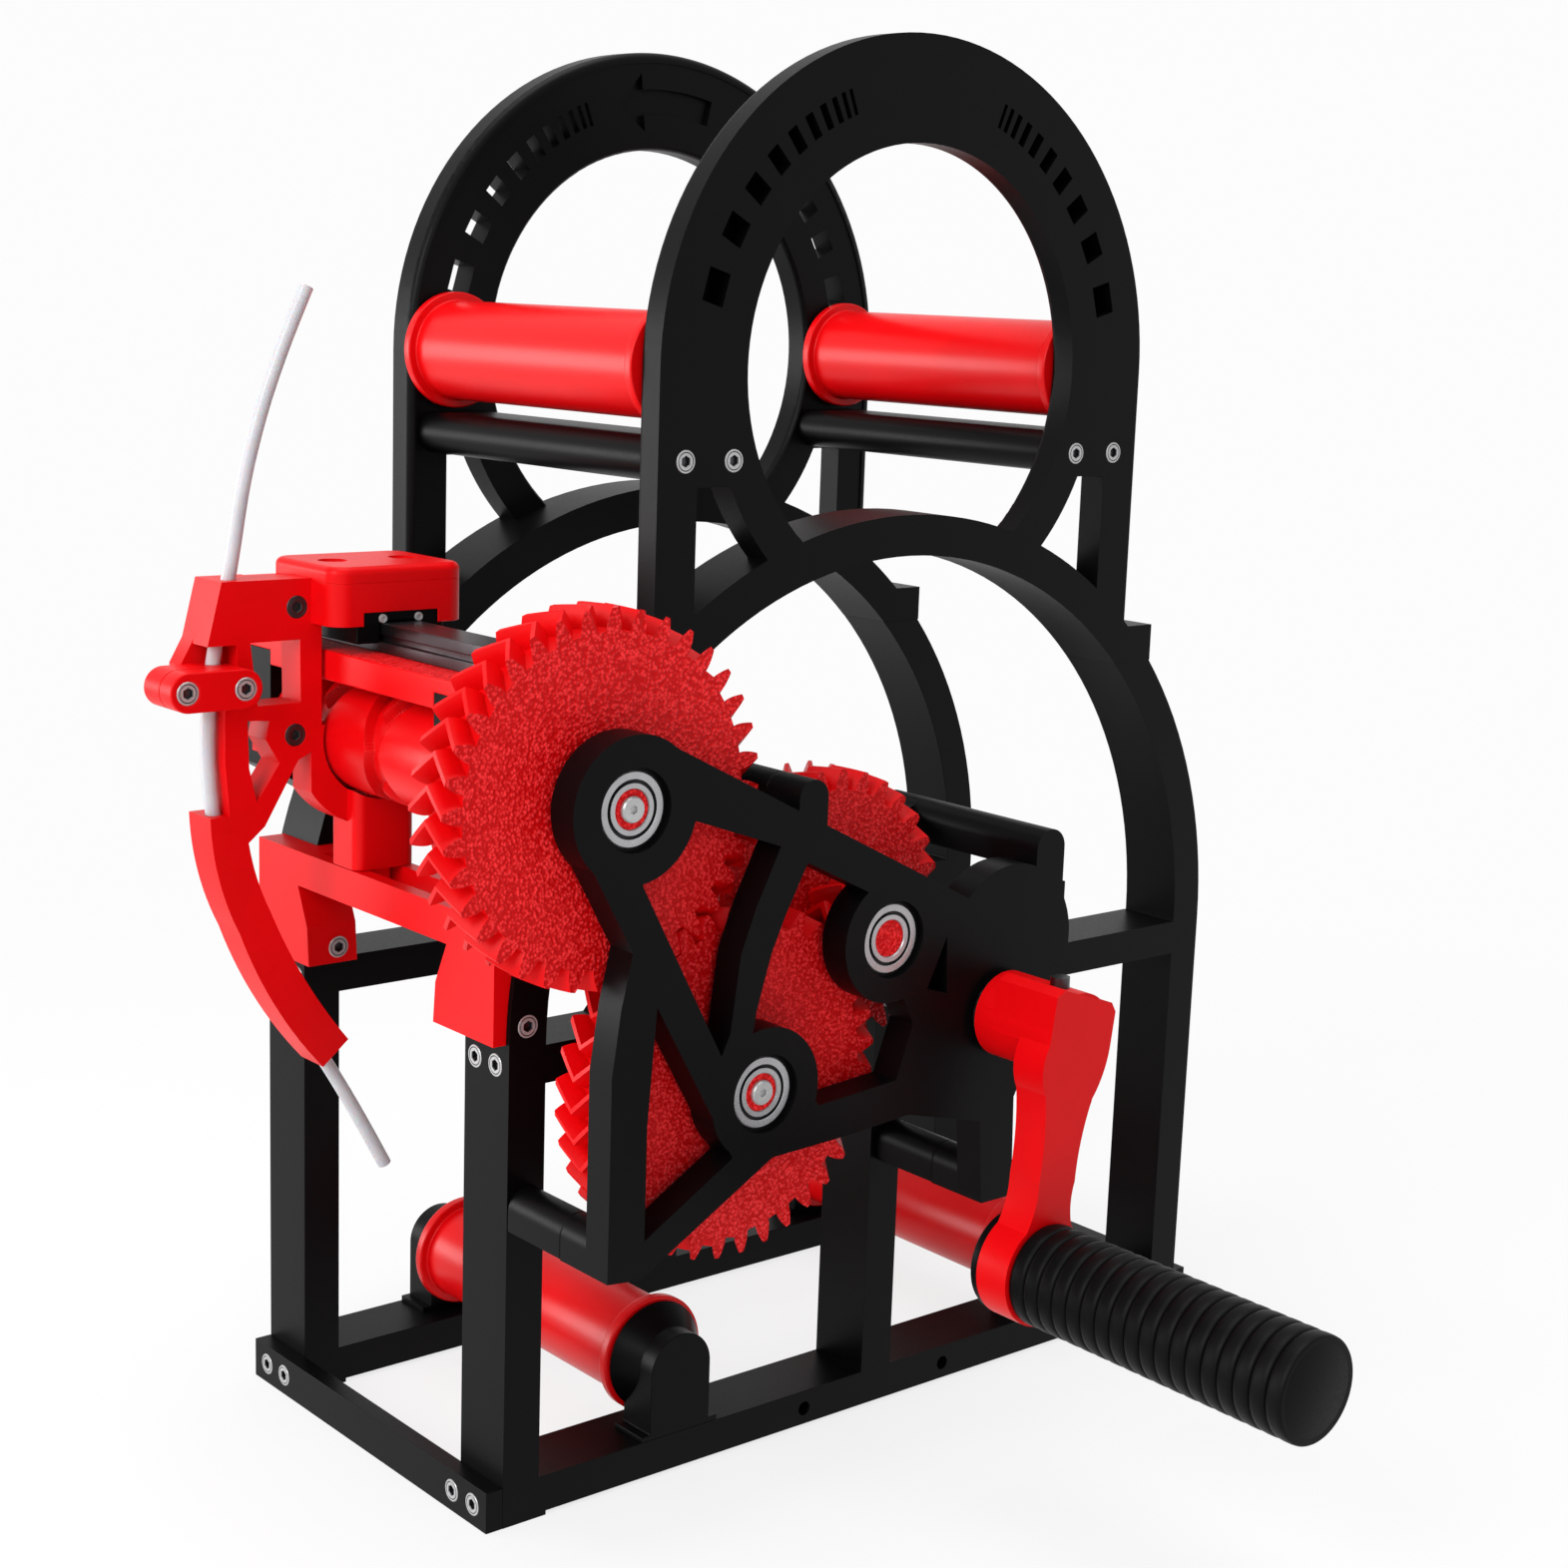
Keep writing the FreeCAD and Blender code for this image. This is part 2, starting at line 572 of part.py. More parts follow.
def corner_opening(side):
    """The triangle between ring, tower leg and arch."""
    leg_x = ring_radius - tower_leg
    high = ring_height - pad_drop
    ring_x = math.sqrt(opening_radius ** 2 - pad_drop ** 2)
    reach = ring_height - arch_axis
    along = (arch_radius ** 2 - opening_radius ** 2 + reach ** 2) / (2 * reach)
    low_x = math.sqrt(arch_radius ** 2 - along ** 2)
    low_z = arch_axis + along
    leg_z = arch_axis + math.sqrt(arch_radius ** 2 - leg_x ** 2)
    ring_turn = (math.atan2(-pad_drop, ring_x) + math.atan2(low_z - ring_height, low_x)) / 2
    middle = polar((0, ring_height), opening_radius, math.degrees(ring_turn))
    arch_turn = (math.atan2(low_z - arch_axis, low_x) + math.atan2(leg_z - arch_axis, leg_x)) / 2
    arch_middle = polar(crank_axis, arch_radius, math.degrees(arch_turn))

    def at(point):
        return V(side * point[0], 0, point[1])

    edges = [
        Part.LineSegment(at((leg_x, high)), at((ring_x, high))).toShape(),
        Part.Arc(at((ring_x, high)), at(middle), at((low_x, low_z))).toShape(),
        Part.Arc(at((low_x, low_z)), at(arch_middle), at((leg_x, leg_z))).toShape(),
        Part.LineSegment(at((leg_x, leg_z)), at((leg_x, high))).toShape(),
    ]
    return Part.Face(Part.Wire(edges))


def windows(end):
    """Slots that narrow towards the top of the ring, from the front to depth end."""
    shapes = []
    degrees = window_first
    step = window_step
    for number in range(int(window_count)):
        width = window_share * math.radians(step) * window_radius
        for turn in (degrees, 180 - degrees):
            slot = Part.makeBox(window_length, frame_depth + end, width,
                                V(window_radius - window_length / 2, -frame_depth, -width / 2))
            slot.rotate(V(), V(0, 1, 0), -turn)
            slot.translate(V(0, 0, ring_height))
            shapes.append(slot)
        degrees = degrees + step
        step = step * window_shrink
    return solid(Part.makeCompound(shapes))


def arrow():
    """The arrow recess on the inner face of the back ring; it bends with the ring."""
    tail = math.radians(arrow_tail)
    bend = math.radians(arrow_neck) - tail
    centre = (0, ring_height)
    edge = []
    for step in range(9):
        edge.append(math.degrees(tail + bend * step / 8))
    points = [polar(centre, window_radius + arrow_shaft / 2, turn) for turn in edge]
    points.append(polar(centre, window_radius + arrow_width / 2, arrow_neck))
    points.append(polar(centre, window_radius, arrow_tip))
    points.append(polar(centre, window_radius - arrow_width / 2, arrow_neck))
    points += [polar(centre, window_radius - arrow_shaft / 2, turn) for turn in reversed(edge)]
    return slab(outline(points), BACK_FACE, "arrow_depth")


def profile_face(points):
    """A flat face in the XY plane from (x, y) points; a list of two points is an arc through the first
    to the second."""
    edges = []
    last = points[0]
    for point in points[1:] + points[:1]:
        if isinstance(point, list):
            through, end = point
            edges.append(Part.Arc(V(*last), V(*through), V(*end)).toShape())
            last = end
        else:
            edges.append(Part.LineSegment(V(*last), V(*point)).toShape())
            last = point
    return Part.Face(Part.Wire(edges))


def tower_plate(outer_face, way):
    """The plate of one tower and its ring, from its outer face inwards.

    The edges of the inner side are rounded, and a thin lip runs along its outer edge.
    """
    face = outer_face + way * ring_plate
    top = face + way * ring_lip
    bend = top - way * ring_round
    half = math.sqrt(0.5) * ring_round
    rim = ring_radius - ring_round
    profile = profile_face([
        (0, outer_face), (ring_radius, outer_face), (ring_radius, bend),
        [(rim + half, bend + way * half), (rim, top)],
        (rim - ring_lip_width, top), (rim - ring_lip_width, face), (0, face),
    ])
    leg = profile.extrude(V(0, 0, seam_height - ring_height))
    plate = profile.revolve(V(), V(0, -1, 0), 180).fuse([leg, leg.mirror(V(), V(1, 0, 0))])
    middle = ring_bore + ring_round
    turn = math.asin((ring_round - ring_lip) / ring_round)
    mouth = middle - ring_round * math.cos(turn)
    bore = profile_face([
        (0, outer_face - way), (ring_bore, outer_face - way), (ring_bore, bend),
        [(middle - ring_round * math.cos(turn / 2), bend + way * ring_round * math.sin(turn / 2)),
         (mouth, face)],
        (mouth, top + way), (0, top + way),
    ]).revolve(V(), V(0, 1, 0), 360)
    shape = plate.cut(bore).removeSplitter()
    shape.translate(V(0, 0, ring_height))
    return solid(shape)


def upper_frame(plate, band_start):
    """Ring and tower on the upper part of the arch."""
    arch = arch_sector(INNER, "arch_radius", band_start, "side_thickness")
    shoulders = block("2*tab_half_width", "side_thickness", "tab_rise", "-tab_half_width", band_start,
                      "seam_height")
    inside = rod("arch_radius-band_width/2", "frame_depth*2", 0, "-frame_depth", "arch_axis")
    under = block("4*arch_radius", "frame_depth*2", "arch_radius*2", "-2*arch_radius", "-frame_depth",
                  "seam_height-2*arch_radius")
    openings = [slab(corner_opening(side), "-frame_depth", "frame_depth*2") for side in (-1, 1)]
    plates = cut(fuse(plate, shoulders), inside, *openings)
    hollow = rod(INNER, "frame_depth*2", 0, "-frame_depth", "arch_axis")
    return cut(fuse(plates, arch), hollow, under)


roller_seats = []
for side in (-1, 1):
    roller_seats.append(rod(SEAT, f"{ROOM}+2*(bearing_width+seat_floor)", f"{side}*upper_roller_half",
                            f"{FRONT_FACE}-bearing_width-seat_floor", "ring_height"))
pad_holes = [screw_hole(*at) for at in pad_screws]
front_tower = upper_frame(tower_plate(front, 1), FRONT)
back_tower = upper_frame(tower_plate(-front + back_tower_shift, -1), back_start)
front_windows = windows(front + ring_plate - window_floor)
back_windows = windows(frame_depth)
node("front_upper_frame", cut(front_tower, front_windows, *roller_seats, *pad_holes))
node("back_upper_frame", cut(back_tower, back_windows, arrow(), *roller_seats, *pad_holes))

for name, side in (("left_spacer_bar", -1), ("right_spacer_bar", 1)):
    middle = block("spacer_width-spacer_height", ROOM, "spacer_height",
                   f"{side}*pad_screw_middle-(spacer_width-spacer_height)/2", FRONT_FACE,
                   "ring_height-pad_screw_height-spacer_height/2")
    ends = []
    for step in (-1, 1):
        ends.append(rod("spacer_height/2", ROOM,
                        f"{side}*pad_screw_middle+{step}*(spacer_width-spacer_height)/2", FRONT_FACE,
                        "ring_height-pad_screw_height"))
    node(name, cut(fuse(middle, *ends), *pad_holes))


# Rollers
def roller(x, z, start, length):
    """A roller with end flanges and journals; start and length are formulas."""
    body = rod("roller_radius", length, x, start, z)
    flanges = [
        rod("flange_radius", "flange_thickness", x, start, z),
        rod("flange_radius", "flange_thickness", x, f"{start}+{length}-flange_thickness", z),
    ]
    journal = rod("bearing_bore-shaft_clearance", f"{length}+2*(bearing_width+roller_gap)", x,
                  f"{start}-bearing_width-roller_gap", z)
    return fuse(body, *flanges, journal)


def bearing(x, start, z):
    return cut(rod("bearing_radius", "bearing_width", x, start, z),
               rod("bearing_bore", "bearing_width", x, start, z))


upper_bearings = []
lower_bearings = []
for name, side in (("left", -1), ("right", 1)):
    x = f"{side}*upper_roller_half"
    start = f"{FRONT_FACE}+roller_gap"
    node(f"{name}_upper_roller", roller(x, "ring_height", start, f"({ROOM}-2*roller_gap)"))
    upper_bearings.append(bearing(x, f"{FRONT_FACE}-bearing_width", "ring_height"))
    upper_bearings.append(bearing(x, BACK_FACE, "ring_height"))
    x = f"{side}*lower_roller_half"
    start = f"{FRONT}+pedestal_depth+roller_gap"
    node(f"{name}_lower_roller", roller(x, "lower_roller_height", start,
                                       "(frame_depth-2*pedestal_depth-2*roller_gap)"))
    lower_bearings.append(bearing(x, f"{FRONT}+pedestal_depth-bearing_width", "lower_roller_height"))
    lower_bearings.append(bearing(x, f"{BACK}-pedestal_depth", "lower_roller_height"))
node("upper_roller_bearings", group(*upper_bearings))
node("lower_roller_bearings", group(*lower_bearings))


def pedestal(side, at_front):
    x = f"{side}*lower_roller_half"
    z = "lower_roller_height"
    start = FRONT if at_front else f"{BACK}-pedestal_depth"
    stem = block("2*pedestal_radius", "pedestal_depth", "lower_roller_height-beam_height",
                 f"{x}-pedestal_radius", start, "beam_height")
    foot = block("2*(pedestal_radius+pedestal_foot)", "pedestal_depth", "pedestal_foot/2",
                 f"{x}-pedestal_radius-pedestal_foot", start, "beam_height")
    dome = rod("pedestal_radius", "pedestal_depth", x, start, z)
    if at_front:
        flare = taper("pedestal_radius", "pedestal_flare", "flare_length", x,
                      f"{FRONT}+pedestal_depth-flare_length", z)
        hole_start = f"{FRONT}+pedestal_depth-bearing_width-seat_floor"
    else:
        flare = taper("pedestal_flare", "pedestal_radius", "flare_length", x, f"{BACK}-pedestal_depth", z)
        hole_start = f"{BACK}-pedestal_depth"
    return cut(fuse(stem, foot, dome, flare), seat((x, z), hole_start))


for side, across in ((-1, "left"), (1, "right")):
    for at_front, along in ((True, "front"), (False, "back")):
        node(f"{along}_{across}_pedestal", pedestal(side, at_front))


# Gear plate
PLATE_FRONT = f"{FRONT}-plate_gap-plate_thickness"
ax, az = cam_axis
bx, bz = second_axis
tx, tz = transfer_axis
leg_left = -arch_radius
arm = arm_width
outer = [
    (ax - 15.4, az - 8.5), (leg_left + 5.6, az - 35.3), (leg_left + 2.4, az - 49), (leg_left, az - 66),
    (leg_left, lower_post_height), (leg_left + arm, lower_post_height - 1),
    (tx + 3, tz - transfer_boss), (bx - 13, tz - 16.6), (bx + 8, tz - 15), (lower_right[0] - 8, tz - 22),
    (lower_right[0] - 6, lower_right[1] - 4), (lower_right[0] + 6, lower_right[1] - 4),
    (lower_right[0] + 5, arch_axis - 26), (crank_axis[0] + crank_boss, arch_axis + 4),
    (crank_axis[0] + crank_boss, arch_axis + 34), (crank_axis[0] + 3, arch_axis + crank_boss_rise),
    (top_right[0], top_right[1] + arm / 2), (top_left[0], top_left[1] + arm / 2),
]
first_opening = [
    (ax + 45.8, az - 14), (ax + 38.4, az - 28.8), (ax + 33.8, az - 40.6), (tx + 1.6 - 14, tz + 18),
    (tx - 15, tz + 12.5), (ax + 2.4, az - 18.8), (ax + 14, az - 3),
]
second_opening = [
    (bx - 31.2, bz + 24.6), (bx - 9.8, bz + 14.2), (bx + 1, bz - 10), (bx + 8.2, bz - 24.4),
    (bx + 2.9, bz - 39.2), (tx + 18.3, tz - 6.4), (tx + 5, tz + 8), (tx - 5.1, tz + 16.4),
    (tx - 4, tz + 22.8), (tx + 0.3, tz + 37.2), (tx + 4.6, tz + 46.8),
]
third_opening = [
    (leg_left + 13.4, tz + 28.6), (tx - 10.4, tz - 15.2), (leg_left + 11.2, lower_post_height + 9),
    (leg_left + 11.2, tz - 1.5),
]
slit = [(bx + 19.3, bz - 1.8), (bx + 20.3, bz - 17.8), (bx + 12.8, bz - 15.4)]
plate_depth = "plate_thickness"
body = slab(outline(outer), PLATE_FRONT, plate_depth)
holes = []
for points in (first_opening, second_opening, third_opening, slit):
    holes.append(slab(outline(points), PLATE_FRONT, plate_depth))
bosses = [
    rod("cam_boss", plate_depth, ax, PLATE_FRONT, az),
    rod("second_boss", plate_depth, bx, PLATE_FRONT, bz),
    rod("transfer_boss", plate_depth, tx, PLATE_FRONT, tz),
    rod("crank_boss", plate_depth, crank_axis[0] + 2.7, PLATE_FRONT, "arch_axis+crank_boss_rise"),
]


def post(centre, width, start, depth):
    """A standoff bar with a rounded top."""
    lower = block(width, depth, f"post_height-{width}/2", f"{centre[0]}-{width}/2", start,
                  f"{centre[1]}-post_height/2")
    return fuse(lower, rod(f"{width}/2", depth, centre[0], start, f"{centre[1]}+post_height/2-{width}/2"))


upper_neck = block("upper_post_width", plate_depth, "upper_post_rise", f"{arm_x}-upper_post_width/2",
                   PLATE_FRONT, arm_point[1])
right_neck = block("right_post_width", plate_depth, "right_post_top-post_height/2",
                   f"{right_post[0]}-right_post_width/2", PLATE_FRONT, "arch_axis")
posts = [
    post(upper_post, "upper_post_width", PLATE_FRONT, f"plate_thickness+plate_gap-upper_joint"),
    post(right_post, "right_post_width", PLATE_FRONT, f"plate_thickness+plate_gap+right_joint"),
    post(lower_left, "band_width", PLATE_FRONT, f"plate_thickness+plate_gap-standoff_joint"),
    post(lower_right, "post_width", PLATE_FRONT, f"plate_thickness+plate_gap-standoff_joint"),
]
plate_cuts = []
for axis in (cam_axis, second_axis, transfer_axis, crank_axis):
    plate_cuts.append(rod("recess_radius", "bearing_recess", axis[0], PLATE_FRONT, axis[1]))
    plate_cuts.append(rod(SEAT, "bearing_width", axis[0], f"{PLATE_FRONT}+bearing_recess", axis[1]))
    plate_cuts.append(rod("bearing_radius-2", plate_depth, axis[0], PLATE_FRONT, axis[1]))
node("gear_plate", cut(fuse(cut(body, *holes), *bosses, upper_neck, right_neck, *posts), *plate_cuts))
node("upper_standoff", post(upper_post, "upper_post_width", f"{FRONT}-upper_joint",
                            "upper_joint+right_joint"))
node("left_standoff", post(lower_left, "band_width", f"{FRONT}-standoff_joint", "standoff_joint"))
node("middle_standoff", post(lower_right, "post_width", f"{FRONT}-standoff_joint", "standoff_joint"))

BEARING_FRONT = f"{PLATE_FRONT}+bearing_recess"
node("plate_bearings", group(*[bearing(axis[0], BEARING_FRONT, axis[1])
                               for axis in (cam_axis, second_axis, transfer_axis, crank_axis)]))

frame_bearings = []
for axis in (crank_axis, second_axis, transfer_axis):
    frame_bearings.append(bearing(axis[0], FRONT, axis[1]))
frame_bearings.append(bearing(ax, f"{FRONT}+side_thickness-bearing_width", az))
frame_bearings.append(bearing(ax, back_start, az))
frame_bearings.append(bearing(crank_axis[0], back_start, crank_axis[1]))
node("frame_bearings", group(*frame_bearings))

# Gears: two layers of herringbone teeth
pressure = math.radians(20)


def gear_outline(teeth, backlash, tip, phase, y):
    """Involute teeth as a closed polygon at depth y; phase is a tooth's angle in degrees."""
    pitch_radius = gear_module * teeth / 2
    base_radius = pitch_radius * math.cos(pressure)
    root_radius = pitch_radius - tooth_root * gear_module
    tip_radius = pitch_radius + tip
    half = math.pi / (2 * teeth) - backlash / (2 * pitch_radius)

    def half_angle(radius):
        tangent = math.acos(base_radius / max(radius, base_radius))
        return half + math.tan(pressure) - pressure - math.tan(tangent) + tangent

    radii = [root_radius + (tip_radius - root_radius) * step / 3 for step in range(4)]
    points = []
    for number in range(int(teeth)):
        middle = math.radians(phase) + 2 * math.pi * number / teeth
        flanks = [(radius, middle - half_angle(radius)) for radius in radii]
        flanks += [(radius, middle + half_angle(radius)) for radius in reversed(radii)]
        for radius, turn in flanks:
            points.append(V(radius * math.cos(turn), y, radius * math.sin(turn)))
    return Part.makePolygon(points + points[:1])


def gear(axis, teeth, backlash, tip, phase, start, vee):
    """A bored herringbone gear: two lofts that meet at mid width."""
    wires = [
        gear_outline(teeth, backlash, tip, phase, start),
        gear_outline(teeth, backlash, tip, phase + vee, start + gear_width / 2),
        gear_outline(teeth, backlash, tip, phase, start + gear_width),
    ]
    halves = [Part.makeLoft(wires[0:2], True, True), Part.makeLoft(wires[1:3], True, True)]
    bore = Part.makeCylinder(bearing_bore, gear_width, V(0, start, 0), V(0, 1, 0))
    item = solid(halves[0].fuse(halves[1]).cut(bore))
    item.Placement = FreeCAD.Placement(V(axis[0], 0, axis[1]), FreeCAD.Rotation())
    return item


def meshed_phase(axis, phase, teeth, other_axis, other_teeth):
    """The phase of the gear that meshes with a gear of the given phase."""
    line = math.degrees(math.atan2(other_axis[1] - axis[1], other_axis[0] - axis[0]))
    return line + 180 - (phase - line) * teeth / other_teeth - 180 / other_teeth


front_layer = front - front_layer_gap - gear_width
front_layer_end = front_layer + gear_width
rear_layer = front_layer_end + layer_gap
rear_layer_end = rear_layer + gear_width
shaft_front = front - plate_gap - plate_thickness + shaft_recess
transfer_phase = meshed_phase(cam_axis, cam_phase, teeth_large, transfer_axis, teeth_large)
first_pinion_phase = meshed_phase(transfer_axis, transfer_phase, teeth_large, second_axis, teeth_pinion)
crank_pinion_phase = meshed_phase(second_axis, second_phase, teeth_second, crank_axis, teeth_pinion)
pinion_vee = vee_angle * teeth_large / teeth_pinion
second_vee = vee_angle * teeth_large / teeth_second
SHAFT = "bearing_bore-shaft_clearance"


def shaft(axis, start, end):
    return rod(SHAFT, end - start, axis[0], start, axis[1])


def collar(axis, start, end):
    return rod("collar_radius", end - start, axis[0], start, axis[1])


bearing_back = front - plate_gap - plate_thickness + bearing_recess + bearing_width + collar_gap
frame_face = front - collar_gap
node("cam_gear", group(
    gear(cam_axis, teeth_large, gear_backlash, gear_module, cam_phase, front_layer, vee_angle),
    fuse(shaft(cam_axis, shaft_front, front_layer_end), collar(cam_axis, bearing_back, front_layer)),
))
node("transfer_gear", group(
    gear(transfer_axis, teeth_large, gear_backlash, gear_module, transfer_phase, front_layer, -vee_angle),
    fuse(
        shaft(transfer_axis, shaft_front, front + bearing_width),
        collar(transfer_axis, bearing_back, front_layer),
        collar(transfer_axis, front_layer_end, frame_face),
    ),
))
node("second_gear", group(
    gear(second_axis, teeth_second, gear_backlash, gear_module, second_phase, rear_layer, -second_vee),
    gear(second_axis, teeth_pinion, pinion_backlash, pinion_tip, first_pinion_phase, front_layer, pinion_vee),
    fuse(
        shaft(second_axis, shaft_front, front + bearing_width),
        collar(second_axis, bearing_back, front_layer),
        collar(second_axis, front_layer_end, rear_layer),
        collar(second_axis, rear_layer_end, frame_face),
    ),
))
crank_vee = second_vee * teeth_second / teeth_pinion
crank_teeth = gear(crank_axis, teeth_pinion, pinion_backlash, pinion_tip, crank_pinion_phase, rear_layer,
                   crank_vee)
node("crank_pinion", cut(
    fuse(crank_teeth, collar(crank_axis, bearing_back, frame_face)),
    rod("bearing_bore", "frame_depth", 0, PLATE_FRONT, "arch_axis"),
))
crank_hub_back = front - plate_gap - plate_thickness - crank_gap
back_bearing_end = -front - side_thickness + bearing_width
node("drive_shaft", shaft(crank_axis, front - crank_face + crank_wall, back_bearing_end))

# Barrel cam
cam_start = front + side_thickness + cam_gap
cam_length = frame_depth - 2 * (side_thickness + cam_gap)
node("barrel_cam", fuse(
    rod("cam_radius", cam_length, ax, cam_start, az),
    shaft(cam_axis, front_layer_end, back_bearing_end),
))

# Rail beam, rail and carriage
beam_bottom = cam_axis[1] + cam_to_rail_beam
beam_top = beam_bottom + rail_beam_height
rail_foot = beam_top
rail_start = front + rail_end
rail_length = frame_depth - 2 * rail_end
inner_start = front + side_thickness
inner_length = frame_depth - 2 * side_thickness
node("rail_beam", fuse(
    block("2*rail_beam_half_width", inner_length, "rail_beam_height", f"{ax}-rail_beam_half_width",
          inner_start, beam_bottom),
    block("2*rail_beam_half_width", "frame_depth", "rail_beam_height-rail_beam_notch",
          f"{ax}-rail_beam_half_width", FRONT, f"{beam_bottom}+rail_beam_notch"),
))
rail_body = block("rail_width", rail_length, "rail_height", f"{ax}-rail_width/2", rail_start, rail_foot)
grooves = []
for side in (-1, 1):
    grooves.append(block("rail_groove", rail_length, "rail_groove", f"{ax}+{side}*rail_width/2-rail_groove/2",
                         rail_start, f"{rail_foot}+rail_height/2-rail_groove/2"))
node("rail", cut(rail_body, *grooves))

carriage_start = carriage_place - block_length / 2
cap_start = carriage_place - cap_length / 2
block_bottom = rail_foot + block_lift
block_height = rail_height - block_lift + block_top
slide_gap = block("rail_width+2*rail_clearance", "block_length", "rail_height-block_lift+rail_clearance",
                  f"{ax}-rail_width/2-rail_clearance", carriage_start, block_bottom)
node("carriage_block", cut(
    block("block_width", "block_length", block_height, f"{ax}-block_width/2", carriage_start, block_bottom),
    slide_gap,
))
block_ceiling = block_bottom + block_height
cap_bottom = block_ceiling - cap_overlap


def rounded_box(width, length, height, x, y, z, corner):
    """A box with upright round corners, sizes as numbers."""
    shape = Part.makeBox(width, length, height, V(x, y, z))
    upright = [edge for edge in shape.Edges if abs(edge.Vertexes[0].Z - edge.Vertexes[1].Z) > height / 2]
    return shape.makeFillet(corner, upright)


cap_x = ax - cap_width / 2
lid_base = cap_bottom + cap_height - lid_height
cap_shape = rounded_box(cap_width, cap_length, cap_height - lid_height, cap_x, cap_start, cap_bottom,
                        cap_corner)
lug_back = guide_front + guide_thickness
upper_tab = Part.makeBox(tab_width, cap_start + cap_length - cap_corner - lug_back, cap_height - lid_height,
                         V(cap_x - tab_width + 1, lug_back, cap_bottom))
recess = Part.makeBox(block_width, block_length, cap_overlap,
                      V(ax - block_width / 2, carriage_start, cap_bottom))
opening_front = Part.makeBox(cap_mouth_width, cap_length, cap_mouth,
                             V(ax - cap_mouth_width / 2, cap_start, cap_bottom))
lug_z = cap_bottom + lug_rise
low_lug = (cap_x - 4.8, az + 2.2)
guide_screws = [(cap_x - 4.2, guide_front, lug_z, "y"), (low_lug[0], guide_front, low_lug[1], "y")]
carriage_solid = solid(cap_shape.fuse(upper_tab).cut(recess.fuse(opening_front)))
node("carriage_body", cut(carriage_solid, screw_hole(*guide_screws[0])))
lid_shape = rounded_box(cap_width, cap_length, lid_height, cap_x, cap_start, lid_base, cap_corner)
rim = [edge for edge in lid_shape.Edges if min(v.Z for v in edge.Vertexes) > lid_base + lid_height - 0.01]
lid_shape = lid_shape.makeFillet(lid_round, rim)
for step in (-1, 1):
    dish = Part.makeCylinder(lid_dish, lid_height, V(ax + step * lid_dish_spacing / 2, carriage_place,
                                                     lid_base + lid_height - lid_dish_depth))
    lid_shape = lid_shape.cut(dish)
node("carriage_lid", solid(lid_shape))

# Cam follower: a web beside the beam, an arm round the cam and a cup below it
web_right = ax - rail_beam_half_width - beam_clearance
ring_in = cam_radius + follower_clearance
ring_out = ring_in + follower_ring
ring_shape = Part.makeCylinder(ring_out, guide_thickness, V(ax, guide_front, az), V(0, 1, 0))
left_out = (
    (ring_out, ring_out * 3, ax, az - ring_out * 1.5),
    (ring_out * 3, ring_out, web_right, az + ring_out / 6),
    (ring_out, ring_out * 3, cap_x - ring_out, az - ring_out * 1.5),
)
for width, height, x, z in left_out:
    ring_shape = ring_shape.cut(Part.makeBox(width, guide_thickness, height, V(x, guide_front, z)))
web = Part.makeBox(web_right - cap_x, guide_thickness, cap_bottom - az, V(cap_x, guide_front, az))
cup = rounded_box(follower_width, follower_depth, follower_cup, ax - follower_width / 2, follower_front,
                  az - follower_bottom, follower_corner)
follower_middle = follower_front + follower_depth / 2
stem_low = az - follower_bottom - stem_length
stem = Part.makeCylinder(stem_radius, stem_length + 1, V(ax, follower_middle, stem_low))
lower_tab = Part.makeBox(lower_tab_size, lug_depth, lower_tab_size, V(cap_x - 9, lug_back, az - 4))
follower = ring_shape.fuse([web, cup, stem, lower_tab])
cam_room = Part.makeCylinder(ring_in, frame_depth, V(ax, front, az), V(0, 1, 0))
follower = follower.cut(cam_room)
pin = Part.makeCylinder(groove_width / 2 - pin_clearance, follower_pin,
                        V(ax, follower_middle, az - cam_radius - pin_clearance - follower_pin))
node("cam_follower", cut(solid(follower.fuse(pin).removeSplitter()), screw_hole(*guide_screws[1])))

# Follower beam with its feet on the legs
beam_left = ax - follower_beam_half_width
beam_low = follower_beam_top - follower_beam_height
between = Part.makeBox(2 * follower_beam_half_width, frame_depth - 2 * side_thickness, follower_beam_height,
                       V(beam_left, front + side_thickness, beam_low))
cheek_length = side_thickness - cheek_inset
pieces = [between]
for start in (front + cheek_inset, -front - side_thickness):
    pieces.append(Part.makeBox(cheek_width, cheek_length, follower_beam_height + foot_drop,
                               V(beam_left, start, beam_low - foot_drop)))
foot_x = band_width + beam_wall
for sign in (1, -1):
    leg_face = sign * (front + side_thickness)
    profile = [
        V(beam_left, leg_face, beam_low + 1), V(beam_left, leg_face, beam_low - foot_drop),
        V(beam_left, leg_face + sign * foot_depth, beam_low - foot_drop),
        V(beam_left, leg_face + sign * foot_depth * 0.9, beam_low - foot_drop * 0.5),
        V(beam_left, leg_face + sign * foot_depth * 0.3, beam_low + 1),
    ]
    pieces.append(Part.Face(Part.makePolygon(profile + profile[:1])).extrude(V(foot_x, 0, 0)))
leg_room = Part.makeBox(arch_radius, side_thickness, arch_axis, V(-arch_radius, front, 0))
leg_room = leg_room.fuse(Part.makeBox(arch_radius, side_thickness, arch_axis,
                                      V(-arch_radius, -front - side_thickness, 0)))
for start in (front, -front - side_thickness):
    inside_arch = Part.makeCylinder(arch_radius, side_thickness, V(0, start, arch_axis), V(0, 1, 0))
    leg_room = leg_room.fuse(inside_arch)
slot_half = stem_radius + slot_clearance
slot_start = front + side_thickness + foot_depth
slot = Part.makeBox(2 * slot_half, frame_depth - 2 * (side_thickness + foot_depth), follower_beam_height,
                    V(ax - slot_half, slot_start, beam_low))
